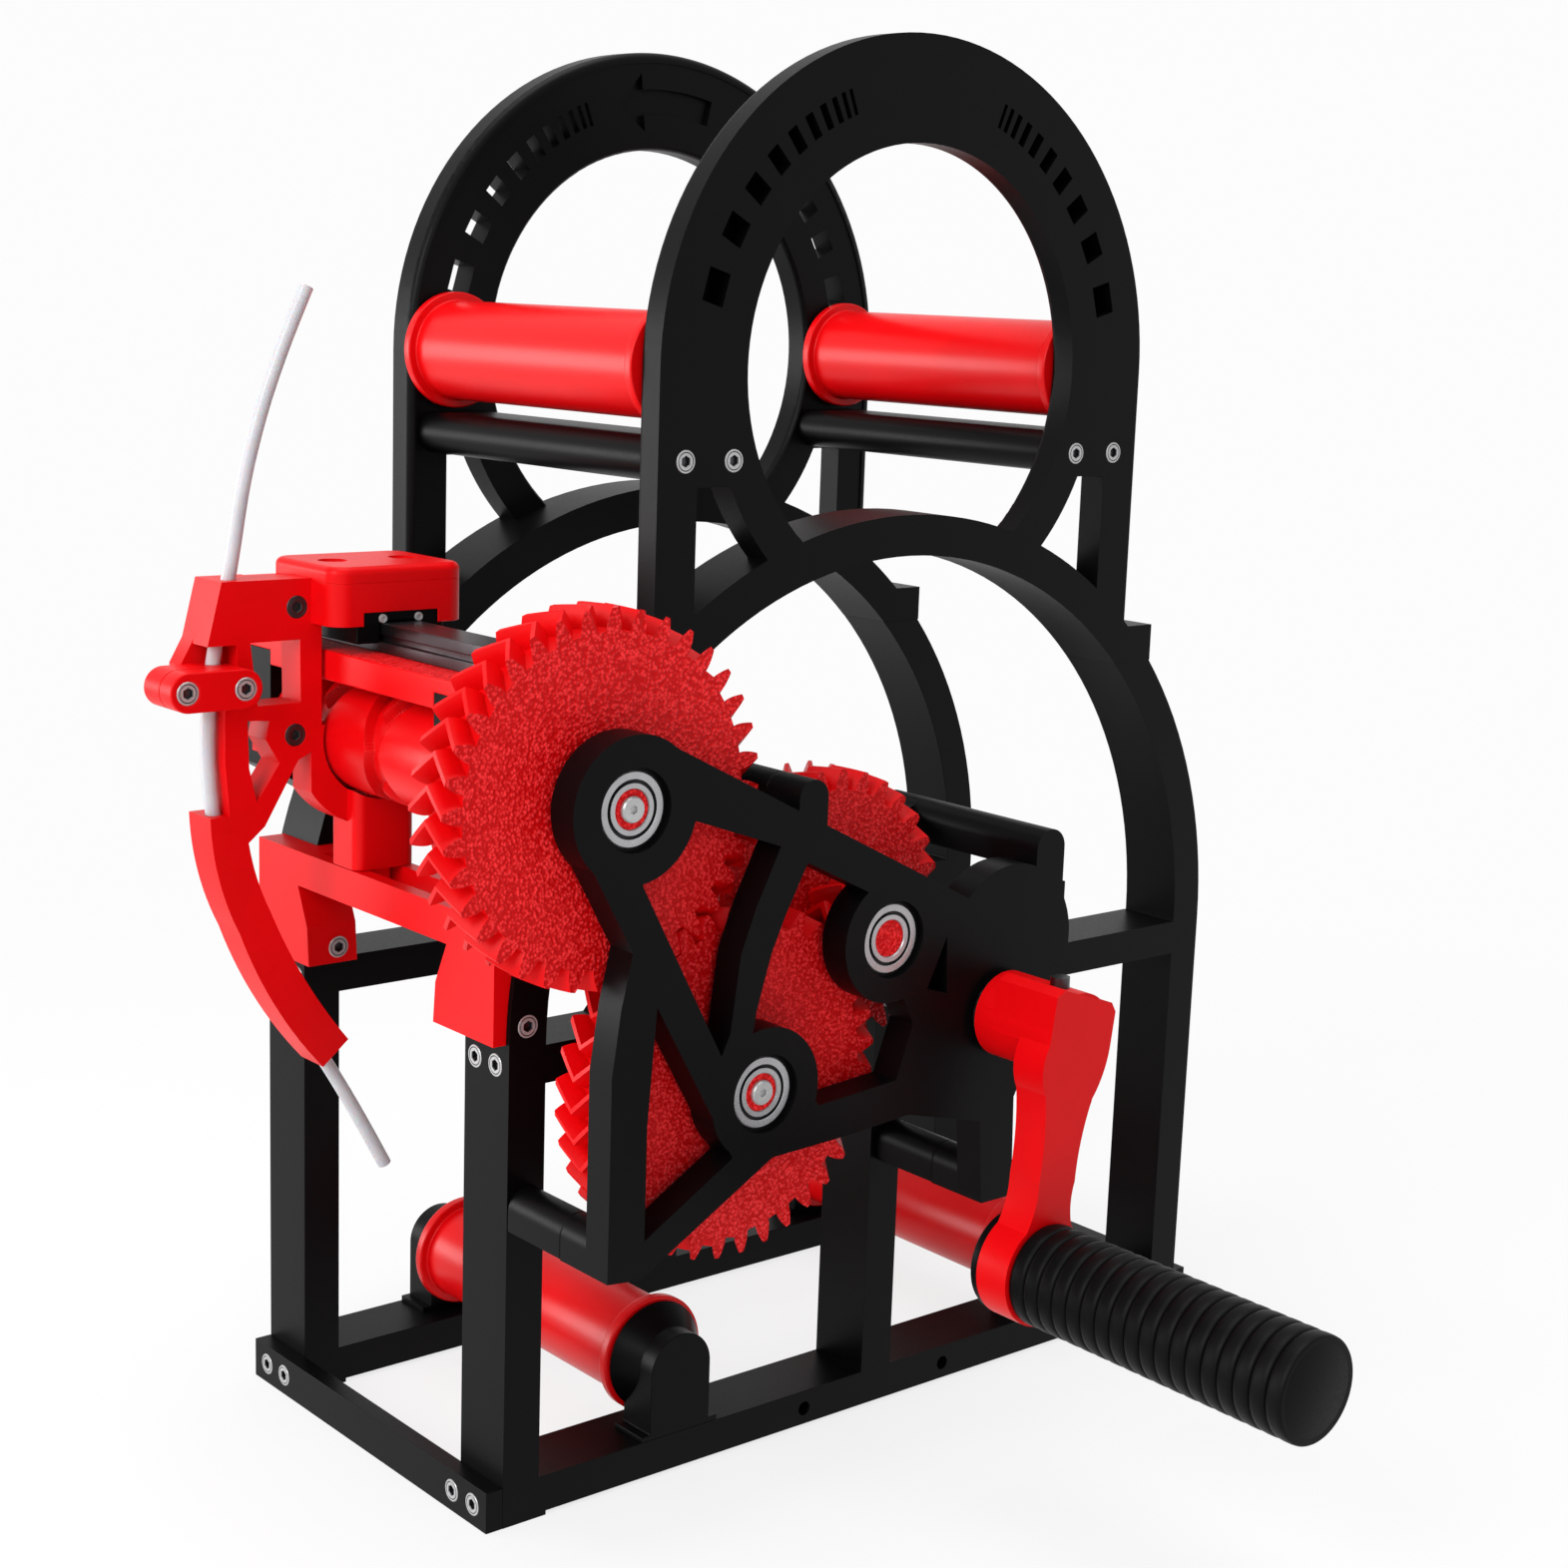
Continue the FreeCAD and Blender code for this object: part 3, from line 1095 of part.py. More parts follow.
beam_shape = pieces[0].fuse(pieces[1:]).cut(leg_room).cut(slot)
follower_beam = solid(beam_shape.removeSplitter())
foot_holes = [screw_hole(*at) for at in foot_screws]
node("follower_beam", cut(follower_beam, *foot_holes))


# Guide plate with head and arm, in the plane of the carriage
def bend(points):
    """A side line of arcs, each through three points; an odd number of points."""
    spots = [V(x, 0, z) for x, z in points]
    return [Part.Arc(*spots[first:first + 3]).toShape() for first in range(0, len(spots) - 2, 2)]


def ribbon(left, right, start, depth):
    """A band between two bent side lines, each a list of (x, z)."""
    sides = bend(left) + bend(right)
    ends = [
        Part.LineSegment(V(left[0][0], 0, left[0][1]), V(right[0][0], 0, right[0][1])).toShape(),
        Part.LineSegment(V(left[-1][0], 0, left[-1][1]), V(right[-1][0], 0, right[-1][1])).toShape(),
    ]
    wire = Part.Wire(Part.__sortEdges__(sides + ends))
    face = Part.Face(wire)
    if face.normalAt(0, 0).y < 0:
        face.reverse()
    shape = face.extrude(V(0, depth, 0))
    shape.translate(V(0, start, 0))
    return shape


def prism(points, start, depth):
    shape = outline(points).extrude(V(0, depth, 0))
    shape.translate(V(0, start, 0))
    return shape


gx = cap_x
head_top = cap_bottom + 12.2
clamp_z = lug_z - 19.7
plate_points = [
    (gx - 26.3, head_top), (gx, head_top), (gx, head_top - 14), (gx, low_lug[1] - 5),
    (gx - 4, low_lug[1] - 7), (gx - 14, low_lug[1] - 24), (gx - 20, low_lug[1] - 29),
    (gx - 24, low_lug[1] - 18), (gx - 25.6, clamp_z - 20), (gx - 25.4, clamp_z - 4),
    (gx - 22, clamp_z + 3), (gx - 22, clamp_z + 10.6), (gx - 30.5, clamp_z + 10.6),
]
guide = prism(plate_points, guide_front, guide_thickness)
head = prism([
    (gx - 26.3, head_top), (gx - 13, head_top), (gx - 15, clamp_z + 10.6), (gx - 30.5, clamp_z + 10.6),
], guide_front, head_thickness)
upper_window = prism([
    (gx - 18.1, clamp_z + 10.9), (gx - 3.4, clamp_z + 11), (gx - 3.2, clamp_z - 6), (gx - 16, clamp_z - 6),
], guide_front - 1, head_thickness + 2)
lower_window = prism([
    (gx - 19, clamp_z - 9.8), (gx - 12.6, clamp_z - 10.2), (gx - 13.6, clamp_z - 15.4),
    (gx - 9.6, clamp_z - 22), (gx - 16.4, clamp_z - 32), (gx - 18.6, clamp_z - 22.6),
], guide_front - 1, head_thickness + 2)
boss_x = gx - 31.2
clamp_half = clamp_length / 2 - clamp_height / 2


def stadium(start, depth):
    """The rounded bar of the clamp."""
    shape = Part.makeBox(2 * clamp_half, depth, clamp_height,
                         V(boss_x - clamp_half, start, clamp_z - clamp_height / 2))
    for step in (-1, 1):
        end = V(boss_x + step * clamp_half, start, clamp_z)
        shape = shape.fuse(Part.makeCylinder(clamp_height / 2, depth, end, V(0, 1, 0)))
    return shape.removeSplitter()


boss_shape = stadium(guide_front, clamp_boss)
throat = prism([
    (gx - 29.5, clamp_z + 13), (gx - 20, clamp_z + 13), (gx - 20, clamp_z - 4), (gx - 34, clamp_z - 4),
    (gx - 34, clamp_z + 5),
], guide_front + clamp_boss, head_thickness - clamp_boss)
arm_neck = prism([
    (gx - 25.6, clamp_z - 3), (gx - 25.7, clamp_z - 20), (gx - 24.3, clamp_z - 36), (gx - 19.9, clamp_z - 36),
    (gx - 20.4, clamp_z - 20), (gx - 20.2, clamp_z - 3),
], guide_front, guide_thickness)
arm_left = [
    (gx - 30.1, clamp_z - 35), (gx - 27.6, clamp_z - 52), (gx - 21.7, clamp_z - 67.3),
    (gx - 10.5, clamp_z - 90), (gx + 3.6, clamp_z - 108.7),
]
arm_right = [
    (gx - 19.7, clamp_z - 35), (gx - 18, clamp_z - 47), (gx - 12.6, clamp_z - 62), (gx - 2.8, clamp_z - 81.5),
    (gx + 11.6, clamp_z - 102),
]
arm_shape = ribbon(arm_left, arm_right, guide_front, guide_thickness + 2)
guide = guide.fuse([head, boss_shape, throat, arm_neck, arm_shape]).cut(upper_window).cut(lower_window)

tube_y = guide_front + tube_depth
tube_route = [
    (gx + 1.5, tube_y, az + 120.2), (gx - 5.4, tube_y, az + 105.3), (gx - 11.8, tube_y, az + 89),
    (gx - 17.1, tube_y, az + 70.6), (gx - 21.5, tube_y, az + 45), (gx - 26.4, tube_y, az + 23.8),
    (gx - 28, tube_y, az + 9), (gx - 28.2, tube_y, az - 3), (gx - 27, tube_y, az - 18),
    (gx - 23.6, tube_y, az - 34), (gx - 16, tube_y, az - 52), (gx - 5, tube_y, az - 73.5),
    (gx + 7.6, tube_y, az - 92.5),
    (gx + 17.6, tube_y, az - 109.5), (gx + 26.4, tube_y, az - 125.7),
]


def route_edges(points):
    """Straight runs joined by tangent arcs; returns the edges and prints the radii."""
    spots = [V(*point) for point in points]
    edges = []
    start = spots[0]
    for before, corner, after in zip(spots, spots[1:], spots[2:]):
        first = corner - before
        second = after - corner
        turn = first.getAngle(second)
        reach = 0.45 * min(first.Length, second.Length)
        radius = reach / math.tan(turn / 2)
        enter = corner - first.normalize() * reach
        leave = corner + second.normalize() * reach
        inward = (leave + enter) * 0.5 - corner
        top = corner + inward.normalize() * (radius / math.cos(turn / 2) - radius)
        edges.append(Part.LineSegment(start, enter).toShape())
        edges.append(Part.Arc(enter, top, leave).toShape())
        print("tube arc radius %.1f turn %.1f" % (radius, math.degrees(turn)))
        start = leave
    edges.append(Part.LineSegment(start, spots[-1]).toShape())
    return edges


route = Part.Wire(route_edges(tube_route))


def tube_along(radius):
    way = (V(*tube_route[1]) - V(*tube_route[0])).normalize()
    section = Part.Wire(Part.makeCircle(radius, V(*tube_route[0]), way))
    return route.makePipeShell([section], True, False)


tube_shape = tube_along(tube_radius).cut(tube_along(tube_bore))
section_area = math.pi * (tube_radius ** 2 - tube_bore ** 2)
print("tube length %.1f, volume %.1f, section x length %.1f"
      % (route.Length, tube_shape.Volume, section_area * route.Length))
guide = guide.cut(tube_along(tube_radius + tube_clearance))
clamp_screws = []
for step in (-1, 1):
    screw_x = boss_x + step * clamp_screw_spacing / 2
    clamp_screws.append((screw_x, guide_front - clamp_thickness, clamp_z, "y"))
drilled_guide = cut(solid(guide), *[screw_hole(*at) for at in guide_screws + clamp_screws])
drilled_guide.Refine = False
node("guide_plate", drilled_guide)
node("clamp_bar", cut(solid(stadium(guide_front - clamp_thickness, clamp_thickness)),
                      *[screw_hole(*at) for at in clamp_screws]))
node("clamp_screws", group(*[screw(*at) for at in clamp_screws]))
node("guide_screws", group(*[screw(*at) for at in guide_screws]))
node("thread_tube", solid(tube_shape))

# Crank with its grip
grip_axis = polar(crank_axis, crank_length, crank_angle)
arm_face = front - crank_face
turn = math.radians(crank_angle + 90)


def crank_point(across, down):
    """A point of the crank arm: across and down, seen along the arm."""
    x = across * math.cos(turn) + down * math.sin(turn)
    z = across * math.sin(turn) - down * math.cos(turn)
    return (crank_axis[0] + x, crank_axis[1] + z)


def across(radius, length, centre, y):
    """A round form along Y, from y on; centre is (x, z)."""
    return Part.makeCylinder(radius, length, V(centre[0], y, centre[1]), V(0, 1, 0))


left_side = [(-11.8, 2), (-13, 8), (-10.4, 16), (-8.2, 28), (-7.6, 40), (-9.6, 54), (-13.4, 60)]
right_side = [(12, 2), (11, 10), (8.2, 17), (6.4, 28), (6.4, 40), (8.6, 54), (13.4, 60)]
arm_body = ribbon([crank_point(*p) for p in left_side], [crank_point(*p) for p in right_side], arm_face,
                  crank_arm_thickness)
block_corners = ((-11.8, -11), (-9, -13), (10, -9.5), (12, -7), (12, 3), (-11.8, 3))
block_body = prism([crank_point(*p) for p in block_corners], arm_face, crank_block_thickness)
hub_body = across(crank_hub_radius, crank_hub_back - arm_face - 1, crank_axis, arm_face + 1)
ring_body = across(grip_radius + crank_ring_rim, crank_arm_thickness, grip_axis, arm_face)
shaft_room = across(bearing_bore, crank_face, crank_axis, arm_face + crank_wall)
bolt_room = across(grip_bolt, crank_arm_thickness * 3, grip_axis, arm_face - crank_arm_thickness)
grub_y = arm_face + crank_wall + 1
grub_low = crank_axis[1] + bearing_bore + 1
grub_room = Part.makeCylinder(grub_radius, crank_length, V(crank_axis[0], grub_y, grub_low))
crank_shape = arm_body.fuse([block_body, hub_body, ring_body]).cut(shaft_room).cut(bolt_room).cut(grub_room)
node("crank_arm", solid(crank_shape.removeSplitter()))
grub_top = crank_axis[1] + crank_hub_radius - 0.5 + grub_height
node("crank_grub_screw", solid(Part.makeCylinder(grub_radius - screw_clearance, grub_top - grub_low,
                                                 V(crank_axis[0], grub_y, grub_low))))
washer_start = arm_face + crank_arm_thickness
bolt_end = arm_face - grip_length * 0.8
washer = across(grip_radius + washer_rim, washer_thickness, grip_axis, washer_start)
bolt = across(grip_bolt - shaft_clearance, washer_start - bolt_end + 1, grip_axis, bolt_end)
node("handle_bolt", solid(washer.fuse(bolt)))
grip_start = arm_face - grip_gap - grip_length
grip_shape = across(grip_radius, grip_length, grip_axis, grip_start)
end_edge = [edge for edge in grip_shape.Edges if abs(edge.CenterOfMass.y - grip_start) < 0.01 and edge.Closed]
grip_shape = grip_shape.makeFillet(grip_round, end_edge)
rings = []
for number in range(int(grip_grooves)):
    y = grip_start + grip_length * (number + 1) / (grip_grooves + 1) - grip_groove_width / 2
    outer_ring = across(grip_radius + 1, grip_groove_width, grip_axis, y)
    rings.append(outer_ring.cut(across(grip_radius - grip_groove_depth, grip_groove_width, grip_axis, y)))
bolt_hole = across(grip_bolt, arm_face - bolt_end + 0.5, grip_axis, bolt_end - 0.5)
node("handle_grip", solid(grip_shape.cut(rings).cut(bolt_hole)))

# Screws of the frame
node("end_bar_screws", group(*[screw(*at) for at in end_screws]))
node("cross_beam_screws", group(*[screw(*at) for at in leg_screws]))
node("foot_screws", group(*[screw(*at) for at in foot_screws]))
node("pad_screws", group(*[screw(*at) for at in pad_screws]))

# All pieces move together to the origin of the finished object
placed = []
for item in nodes:
    moved = doc.addObject("Part::Compound", "Placed")
    moved.Links = [item]
    moved.Label = item.Label + "_placed"
    placed.append((item.Label, place(moved, "origin_right", "origin_back", 0)))

doc.recompute()
problems = [item.Name for item in doc.Objects if "Invalid" in item.State or "Error" in item.State]
if problems:
    raise RuntimeError("not rebuilt: " + ", ".join(problems))
os.makedirs("parts", exist_ok=True)
for name, item in placed:
    shape = item.Shape
    if shape.isNull() or not shape.isValid() or not shape.Solids:
        raise RuntimeError("bad shape: " + name)
    print("%-24s solids %d volume %.0f faces %d" % (name, len(shape.Solids), shape.Volume, len(shape.Faces)))
    shape.exportStep(os.path.join("parts", name + ".step"))
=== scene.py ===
# Looks for the filament spool winder: procedural plastic, steel and tube materials, soft edges,
# and redrawn bearings, herringbone gears, screws, grooved barrel cam and ribbed grip, then the
# floor, lights and camera. Metres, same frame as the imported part.
import bpy
import math
from mathutils import Matrix, Vector


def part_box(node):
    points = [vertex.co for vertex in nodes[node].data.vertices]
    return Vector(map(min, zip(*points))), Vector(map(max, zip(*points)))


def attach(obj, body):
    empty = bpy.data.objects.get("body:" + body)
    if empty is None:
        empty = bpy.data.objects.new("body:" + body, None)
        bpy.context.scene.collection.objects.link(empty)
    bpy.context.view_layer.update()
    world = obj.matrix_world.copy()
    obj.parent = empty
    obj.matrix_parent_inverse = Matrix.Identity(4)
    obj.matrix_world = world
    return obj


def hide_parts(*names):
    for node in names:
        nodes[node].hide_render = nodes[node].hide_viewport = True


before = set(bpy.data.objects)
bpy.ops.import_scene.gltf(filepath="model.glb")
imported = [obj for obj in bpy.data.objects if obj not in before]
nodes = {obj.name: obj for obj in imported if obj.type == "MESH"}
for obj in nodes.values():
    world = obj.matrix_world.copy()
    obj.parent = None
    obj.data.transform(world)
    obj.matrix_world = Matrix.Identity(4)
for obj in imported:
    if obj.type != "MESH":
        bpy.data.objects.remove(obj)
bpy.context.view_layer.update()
MM = 0.001
FULL_TURN = 2 * math.pi


# Materials. Noise scales are in cells per metre, bump heights in metres.
DRIFT_CELLS = 45
WAVY_CELLS = 160
FINE_CELLS = 2600
PEBBLE_CELLS = 1150
UNEVEN_CELLS = 800
NOISE_ROUGHNESS = 0.55
WAVY_HEIGHT = 0.00005
FINE_HEIGHT = 0.00002
PEBBLE_HEIGHT = 0.0004


def new_material(name):
    material = bpy.data.materials.new(name)
    material.use_nodes = True
    tree = material.node_tree
    shader = tree.nodes["Principled BSDF"]
    return material, tree, shader


def noise(tree, scale, detail):
    """A noise texture in the object's own coordinates."""
    coordinates = tree.nodes.new("ShaderNodeTexCoord")
    texture = tree.nodes.new("ShaderNodeTexNoise")
    texture.inputs["Scale"].default_value = scale
    texture.inputs["Detail"].default_value = detail
    texture.inputs["Roughness"].default_value = NOISE_ROUGHNESS
    tree.links.new(coordinates.outputs["Object"], texture.inputs["Vector"])
    return texture.outputs["Fac"]


def spread(tree, source, low_out, high_out, low_in=0.3, high_in=0.7):
    """Maps a texture value to a range."""
    node = tree.nodes.new("ShaderNodeMapRange")
    node.inputs["From Min"].default_value = low_in
    node.inputs["From Max"].default_value = high_in
    node.inputs["To Min"].default_value = low_out
    node.inputs["To Max"].default_value = high_out
    tree.links.new(source, node.inputs["Value"])
    return node.outputs["Result"]


def combine(tree, operation, first, second):
    """One math node with two linked inputs."""
    node = tree.nodes.new("ShaderNodeMath")
    node.operation = operation
    tree.links.new(first, node.inputs[0])
    tree.links.new(second, node.inputs[1])
    return node.outputs["Value"]


def blend_colours(tree, factor, first, second):
    node = tree.nodes.new("ShaderNodeMix")
    node.data_type = "RGBA"
    node.inputs["A"].default_value = (*first, 1)
    node.inputs["B"].default_value = (*second, 1)
    tree.links.new(factor, node.inputs["Factor"])
    return node.outputs["Result"]


def bump(tree, height, distance, strength, before=None):
    node = tree.nodes.new("ShaderNodeBump")
    node.inputs["Distance"].default_value = distance
    node.inputs["Strength"].default_value = strength
    tree.links.new(height, node.inputs["Height"])
    if before is not None:
        tree.links.new(before, node.inputs["Normal"])
    return node.outputs["Normal"]


def printed(name, colour, dark, rough, grain, specular):
    """Satin printed plastic: slow colour drift, fine grain and a little unevenness."""
    material, tree, shader = new_material(name)
    drift = noise(tree, DRIFT_CELLS, 3)
    fine = noise(tree, FINE_CELLS, 2)
    wavy = noise(tree, WAVY_CELLS, 2)
    tone = blend_colours(tree, spread(tree, drift, 0, 1), colour, dark)
    tree.links.new(tone, shader.inputs["Base Color"])
    tree.links.new(spread(tree, fine, rough - 0.05, rough + 0.07), shader.inputs["Roughness"])
    slow = bump(tree, wavy, WAVY_HEIGHT, 0.15)
    tree.links.new(bump(tree, fine, grain, 0.6, slow), shader.inputs["Normal"])
    shader.inputs["Specular IOR Level"].default_value = specular
    return material


def pebbles(tree):
    """Small round bumps of uneven size, as a height from 0 to 1."""
    coordinates = tree.nodes.new("ShaderNodeTexCoord")
    cells = tree.nodes.new("ShaderNodeTexVoronoi")
    cells.feature = "SMOOTH_F1"
    cells.inputs["Scale"].default_value = PEBBLE_CELLS
    cells.inputs["Smoothness"].default_value = 0.6
    tree.links.new(coordinates.outputs["Object"], cells.inputs["Vector"])
    round_tops = spread(tree, cells.outputs["Distance"], 1, 0, 0.1, 0.75)
    uneven = spread(tree, noise(tree, UNEVEN_CELLS, 2), 0.3, 1)
    return combine(tree, "MULTIPLY", round_tops, uneven)


def grained_face(name, colour, dark, rough, specular, axis):
    """Plastic whose flat faces across one axis have a fine grain; the other faces are smooth. The
    grain's pits are painted darker as painted shade and its tops brighter as a painted highlight.
    """
    material, tree, shader = new_material(name)
    drift = noise(tree, DRIFT_CELLS, 3)
    fine = noise(tree, FINE_CELLS, 2)
    coarse = pebbles(tree)
    coordinates = tree.nodes.new("ShaderNodeTexCoord")
    split = tree.nodes.new("ShaderNodeSeparateXYZ")
    tree.links.new(coordinates.outputs["Normal"], split.inputs["Vector"])
    across = tree.nodes.new("ShaderNodeMath")
    across.operation = "ABSOLUTE"
    tree.links.new(split.outputs[axis], across.inputs[0])
    mask = spread(tree, across.outputs["Value"], 0, 1, 0.9, 0.99)
    height = combine(tree, "MULTIPLY", coarse, mask)
    plain = blend_colours(tree, spread(tree, drift, 0, 1), colour, dark)
    # Painted shade and highlight: the grain's pits get a darker red and its tops a brighter red
    grain_painted_shade_and_highlight = blend_colours(tree, spread(tree, coarse, 0, 1, 0.15, 0.6), GRAIN_PIT_PAINTED_SHADE, GRAIN_TOP_PAINTED_HIGHLIGHT)
    both = tree.nodes.new("ShaderNodeMix")
    both.data_type = "RGBA"
    tree.links.new(mask, both.inputs["Factor"])
    tree.links.new(plain, both.inputs["A"])
    tree.links.new(grain_painted_shade_and_highlight, both.inputs["B"])
    tree.links.new(both.outputs["Result"], shader.inputs["Base Color"])
    tree.links.new(spread(tree, fine, rough - 0.04, rough + 0.06), shader.inputs["Roughness"])
    grain = bump(tree, fine, FINE_HEIGHT, 0.5)
    tree.links.new(bump(tree, height, PEBBLE_HEIGHT, 0.9, grain), shader.inputs["Normal"])
    shader.inputs["Specular IOR Level"].default_value = specular
    return material


def metal(name, colour, rough, scratch, metallic=1.0):
    """Plain steel with fine marks and slow clouds of tone."""
    material, tree, shader = new_material(name)
    fine = noise(tree, 3500, 3)
    cloud = noise(tree, 220, 2)
    lighter = tuple(min(1.0, part * 1.15) for part in colour)
    tone = blend_colours(tree, spread(tree, cloud, 0, 1), colour, lighter)
    tree.links.new(tone, shader.inputs["Base Color"])
    tree.links.new(spread(tree, fine, rough - 0.06, rough + 0.08), shader.inputs["Roughness"])
    tree.links.new(bump(tree, fine, scratch, 0.4), shader.inputs["Normal"])
    shader.inputs["Metallic"].default_value = metallic
    return material


def tube_plastic(name, colour, dark):
    """Milky, slightly clear tube."""
    material, tree, shader = new_material(name)
    cloud = noise(tree, 120, 3)
    fine = noise(tree, 3000, 2)
    tone = blend_colours(tree, spread(tree, cloud, 0, 1), colour, dark)
    tree.links.new(tone, shader.inputs["Base Color"])
    tree.links.new(spread(tree, fine, 0.3, 0.42), shader.inputs["Roughness"])
    tree.links.new(bump(tree, fine, FINE_HEIGHT, 0.4), shader.inputs["Normal"])
    shader.inputs["Subsurface Weight"].default_value = 0.35
    shader.inputs["Subsurface Scale"].default_value = 0.002
    return material


RED = (0.68, 0.001, 0.003)
RED_DARK = (0.62, 0.0008, 0.002)
# Grain colours: painted shade in the pits, painted highlight on the tops of the bumps
GRAIN_PIT_PAINTED_SHADE = (0.52, 0.0006, 0.0016)
GRAIN_TOP_PAINTED_HIGHLIGHT = (0.95, 0.03, 0.034)
BLACK = (0.0017, 0.0017, 0.0019)
BLACK_DARK = (0.0013, 0.0013, 0.0015)
# Seal rubber colour for the bearings; also painted shade in the guide screw sockets
SEAL_AND_SOCKET_SHADE = (0.02, 0.02, 0.021)
SEAL_DARK_AND_SOCKET_SHADE = (0.014, 0.014, 0.015)
STEEL = (0.4, 0.4, 0.4)
RING_STEEL = (0.38, 0.38, 0.39)
# Dark steel for the shaft, rail and grub screw; also painted shade in screw sockets and rim
# grooves, and on the guide screw heads deep in their holes
DARK_STEEL_AND_RECESS_SHADE = (0.07, 0.07, 0.075)
TUBE = (0.5, 0.5, 0.52)
TUBE_DARK = (0.45, 0.45, 0.48)
red = printed("red_plastic", RED, RED_DARK, 0.38, 0.00002, 0.12)
red_roller = printed("red_roller_plastic", RED, RED_DARK, 0.32, 0.000015, 0.2)
red_gear = grained_face("red_gear_plastic", RED, RED_DARK, 0.38, 0.12, "Y")
red_beam = grained_face("red_beam_plastic", RED, RED_DARK, 0.38, 0.12, "Z")
black = printed("black_plastic", BLACK, BLACK_DARK, 0.38, 0.000015, 0.08)
grip_black = printed("grip_plastic", BLACK, BLACK_DARK, 0.45, 0.00003, 0.08)
steel = metal("bright_steel", STEEL, 0.3, 0.00001, 0.45)
ring_steel = metal("bearing_steel", RING_STEEL, 0.3, 0.00001, 0.7)
dark_steel_and_recess_shade = metal("dark_steel_and_recess_shade", DARK_STEEL_AND_RECESS_SHADE, 0.34, 0.00001)
seal_and_socket_shade = printed("seal_rubber_and_socket_shade", SEAL_AND_SOCKET_SHADE, SEAL_DARK_AND_SOCKET_SHADE, 0.5, 0.00002, 0.3)
tube_white = tube_plastic("tube_plastic", TUBE, TUBE_DARK)

PAINT = {
    red_beam: ("rail_beam",),
    red: ("carriage_body", "carriage_lid", "cam_follower", "follower_beam", "guide_plate",
          "clamp_bar", "crank_arm"),
    red_roller: ("left_upper_roller", "right_upper_roller", "left_lower_roller",
                 "right_lower_roller", "barrel_cam"),
    red_gear: ("cam_gear", "transfer_gear", "second_gear", "crank_pinion"),
    black: ("front_lower_frame", "back_lower_frame", "front_upper_frame", "back_upper_frame",
            "left_end_bar", "right_end_bar", "left_spacer_bar", "right_spacer_bar",
            "front_left_pedestal", "back_left_pedestal", "front_right_pedestal",
            "back_right_pedestal", "gear_plate", "upper_standoff", "left_standoff",
            "middle_standoff", "carriage_block", "handle_bolt"),
    grip_black: ("handle_grip",),
    steel: ("clamp_screws", "end_bar_screws", "cross_beam_screws", "foot_screws", "pad_screws"),
    dark_steel_and_recess_shade: ("drive_shaft", "rail", "guide_screws", "crank_grub_screw"),
    ring_steel: ("plate_bearings", "frame_bearings", "upper_roller_bearings",
                 "lower_roller_bearings"),
    tube_white: ("thread_tube",),
}
for material, names in PAINT.items():
    for name in names:
        nodes[name].data.materials.clear()
        nodes[name].data.materials.append(material)


# Softened edges on the CAD pieces
WELD_DISTANCE = 0.00001
FLAT_ANGLE = math.radians(0.6)
BEVEL_SEGMENTS = 2
BEVEL_ANGLE = math.radians(20)


def soften(name, width):
    """Rounds the sharp edges of a CAD piece; width in millimetres."""
    piece = nodes[name]
    weld = piece.modifiers.new("weld", "WELD")
    weld.merge_threshold = WELD_DISTANCE
    flats = piece.modifiers.new("flats", "DECIMATE")
    flats.decimate_type = "DISSOLVE"
    flats.angle_limit = FLAT_ANGLE
    edge = piece.modifiers.new("edges", "BEVEL")
    edge.width = width * MM
    edge.segments = BEVEL_SEGMENTS
    edge.limit_method = "ANGLE"
    edge.angle_limit = BEVEL_ANGLE
    edge.use_clamp_overlap = True
    even = piece.modifiers.new("even", "WEIGHTED_NORMAL")
    even.keep_sharp = False
    for face in piece.data.polygons:
        face.use_smooth = True


SOFT_EDGES = {
    0.7: ("front_lower_frame", "back_lower_frame", "gear_plate"),
    0.3: ("front_upper_frame", "back_upper_frame"),
    0.6: ("left_end_bar", "right_end_bar", "left_spacer_bar", "right_spacer_bar",
          "upper_standoff", "left_standoff", "middle_standoff", "front_left_pedestal",
          "back_left_pedestal", "front_right_pedestal", "back_right_pedestal", "handle_bolt"),
    0.9: ("crank_arm", "guide_plate", "follower_beam", "carriage_body"),
    0.5: ("rail_beam", "cam_follower", "clamp_bar", "left_upper_roller", "right_upper_roller",
          "left_lower_roller", "right_lower_roller", "carriage_block"),
    0.25: ("rail",),
}
for width, names in SOFT_EDGES.items():
    for name in names:
        soften(name, width)


# Pieces drawn from rings of points. A closed end stops at a very small ring.
CLOSED = 0.00001
CLOSED_WIDE = 0.0001


def add_piece(name, points, faces, body, materials, indices=None):
    """One smooth piece that rides on a body; indices gives each face's material."""
    mesh = bpy.data.meshes.new(name)
    mesh.from_pydata(points, [], faces)
    for material in materials:
        mesh.materials.append(material)
    for number, face in enumerate(mesh.polygons):
        face.use_smooth = True
        if indices is not None:
            face.material_index = indices[number]
    mesh.update()
    piece = bpy.data.objects.new(name, mesh)
    bpy.context.scene.collection.objects.link(piece)
    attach(piece, body)
    return piece


def crease(piece, angle):
    """Smooth shading, with edges sharper than the angle in degrees kept sharp."""
    for edge in piece.data.edges:
        edge.use_edge_sharp = False
    bpy.context.view_layer.objects.active = piece
    for other in bpy.context.selected_objects:
        other.select_set(False)
    piece.select_set(True)
    bpy.ops.object.shade_smooth_by_angle(angle=math.radians(angle))
    piece.select_set(False)


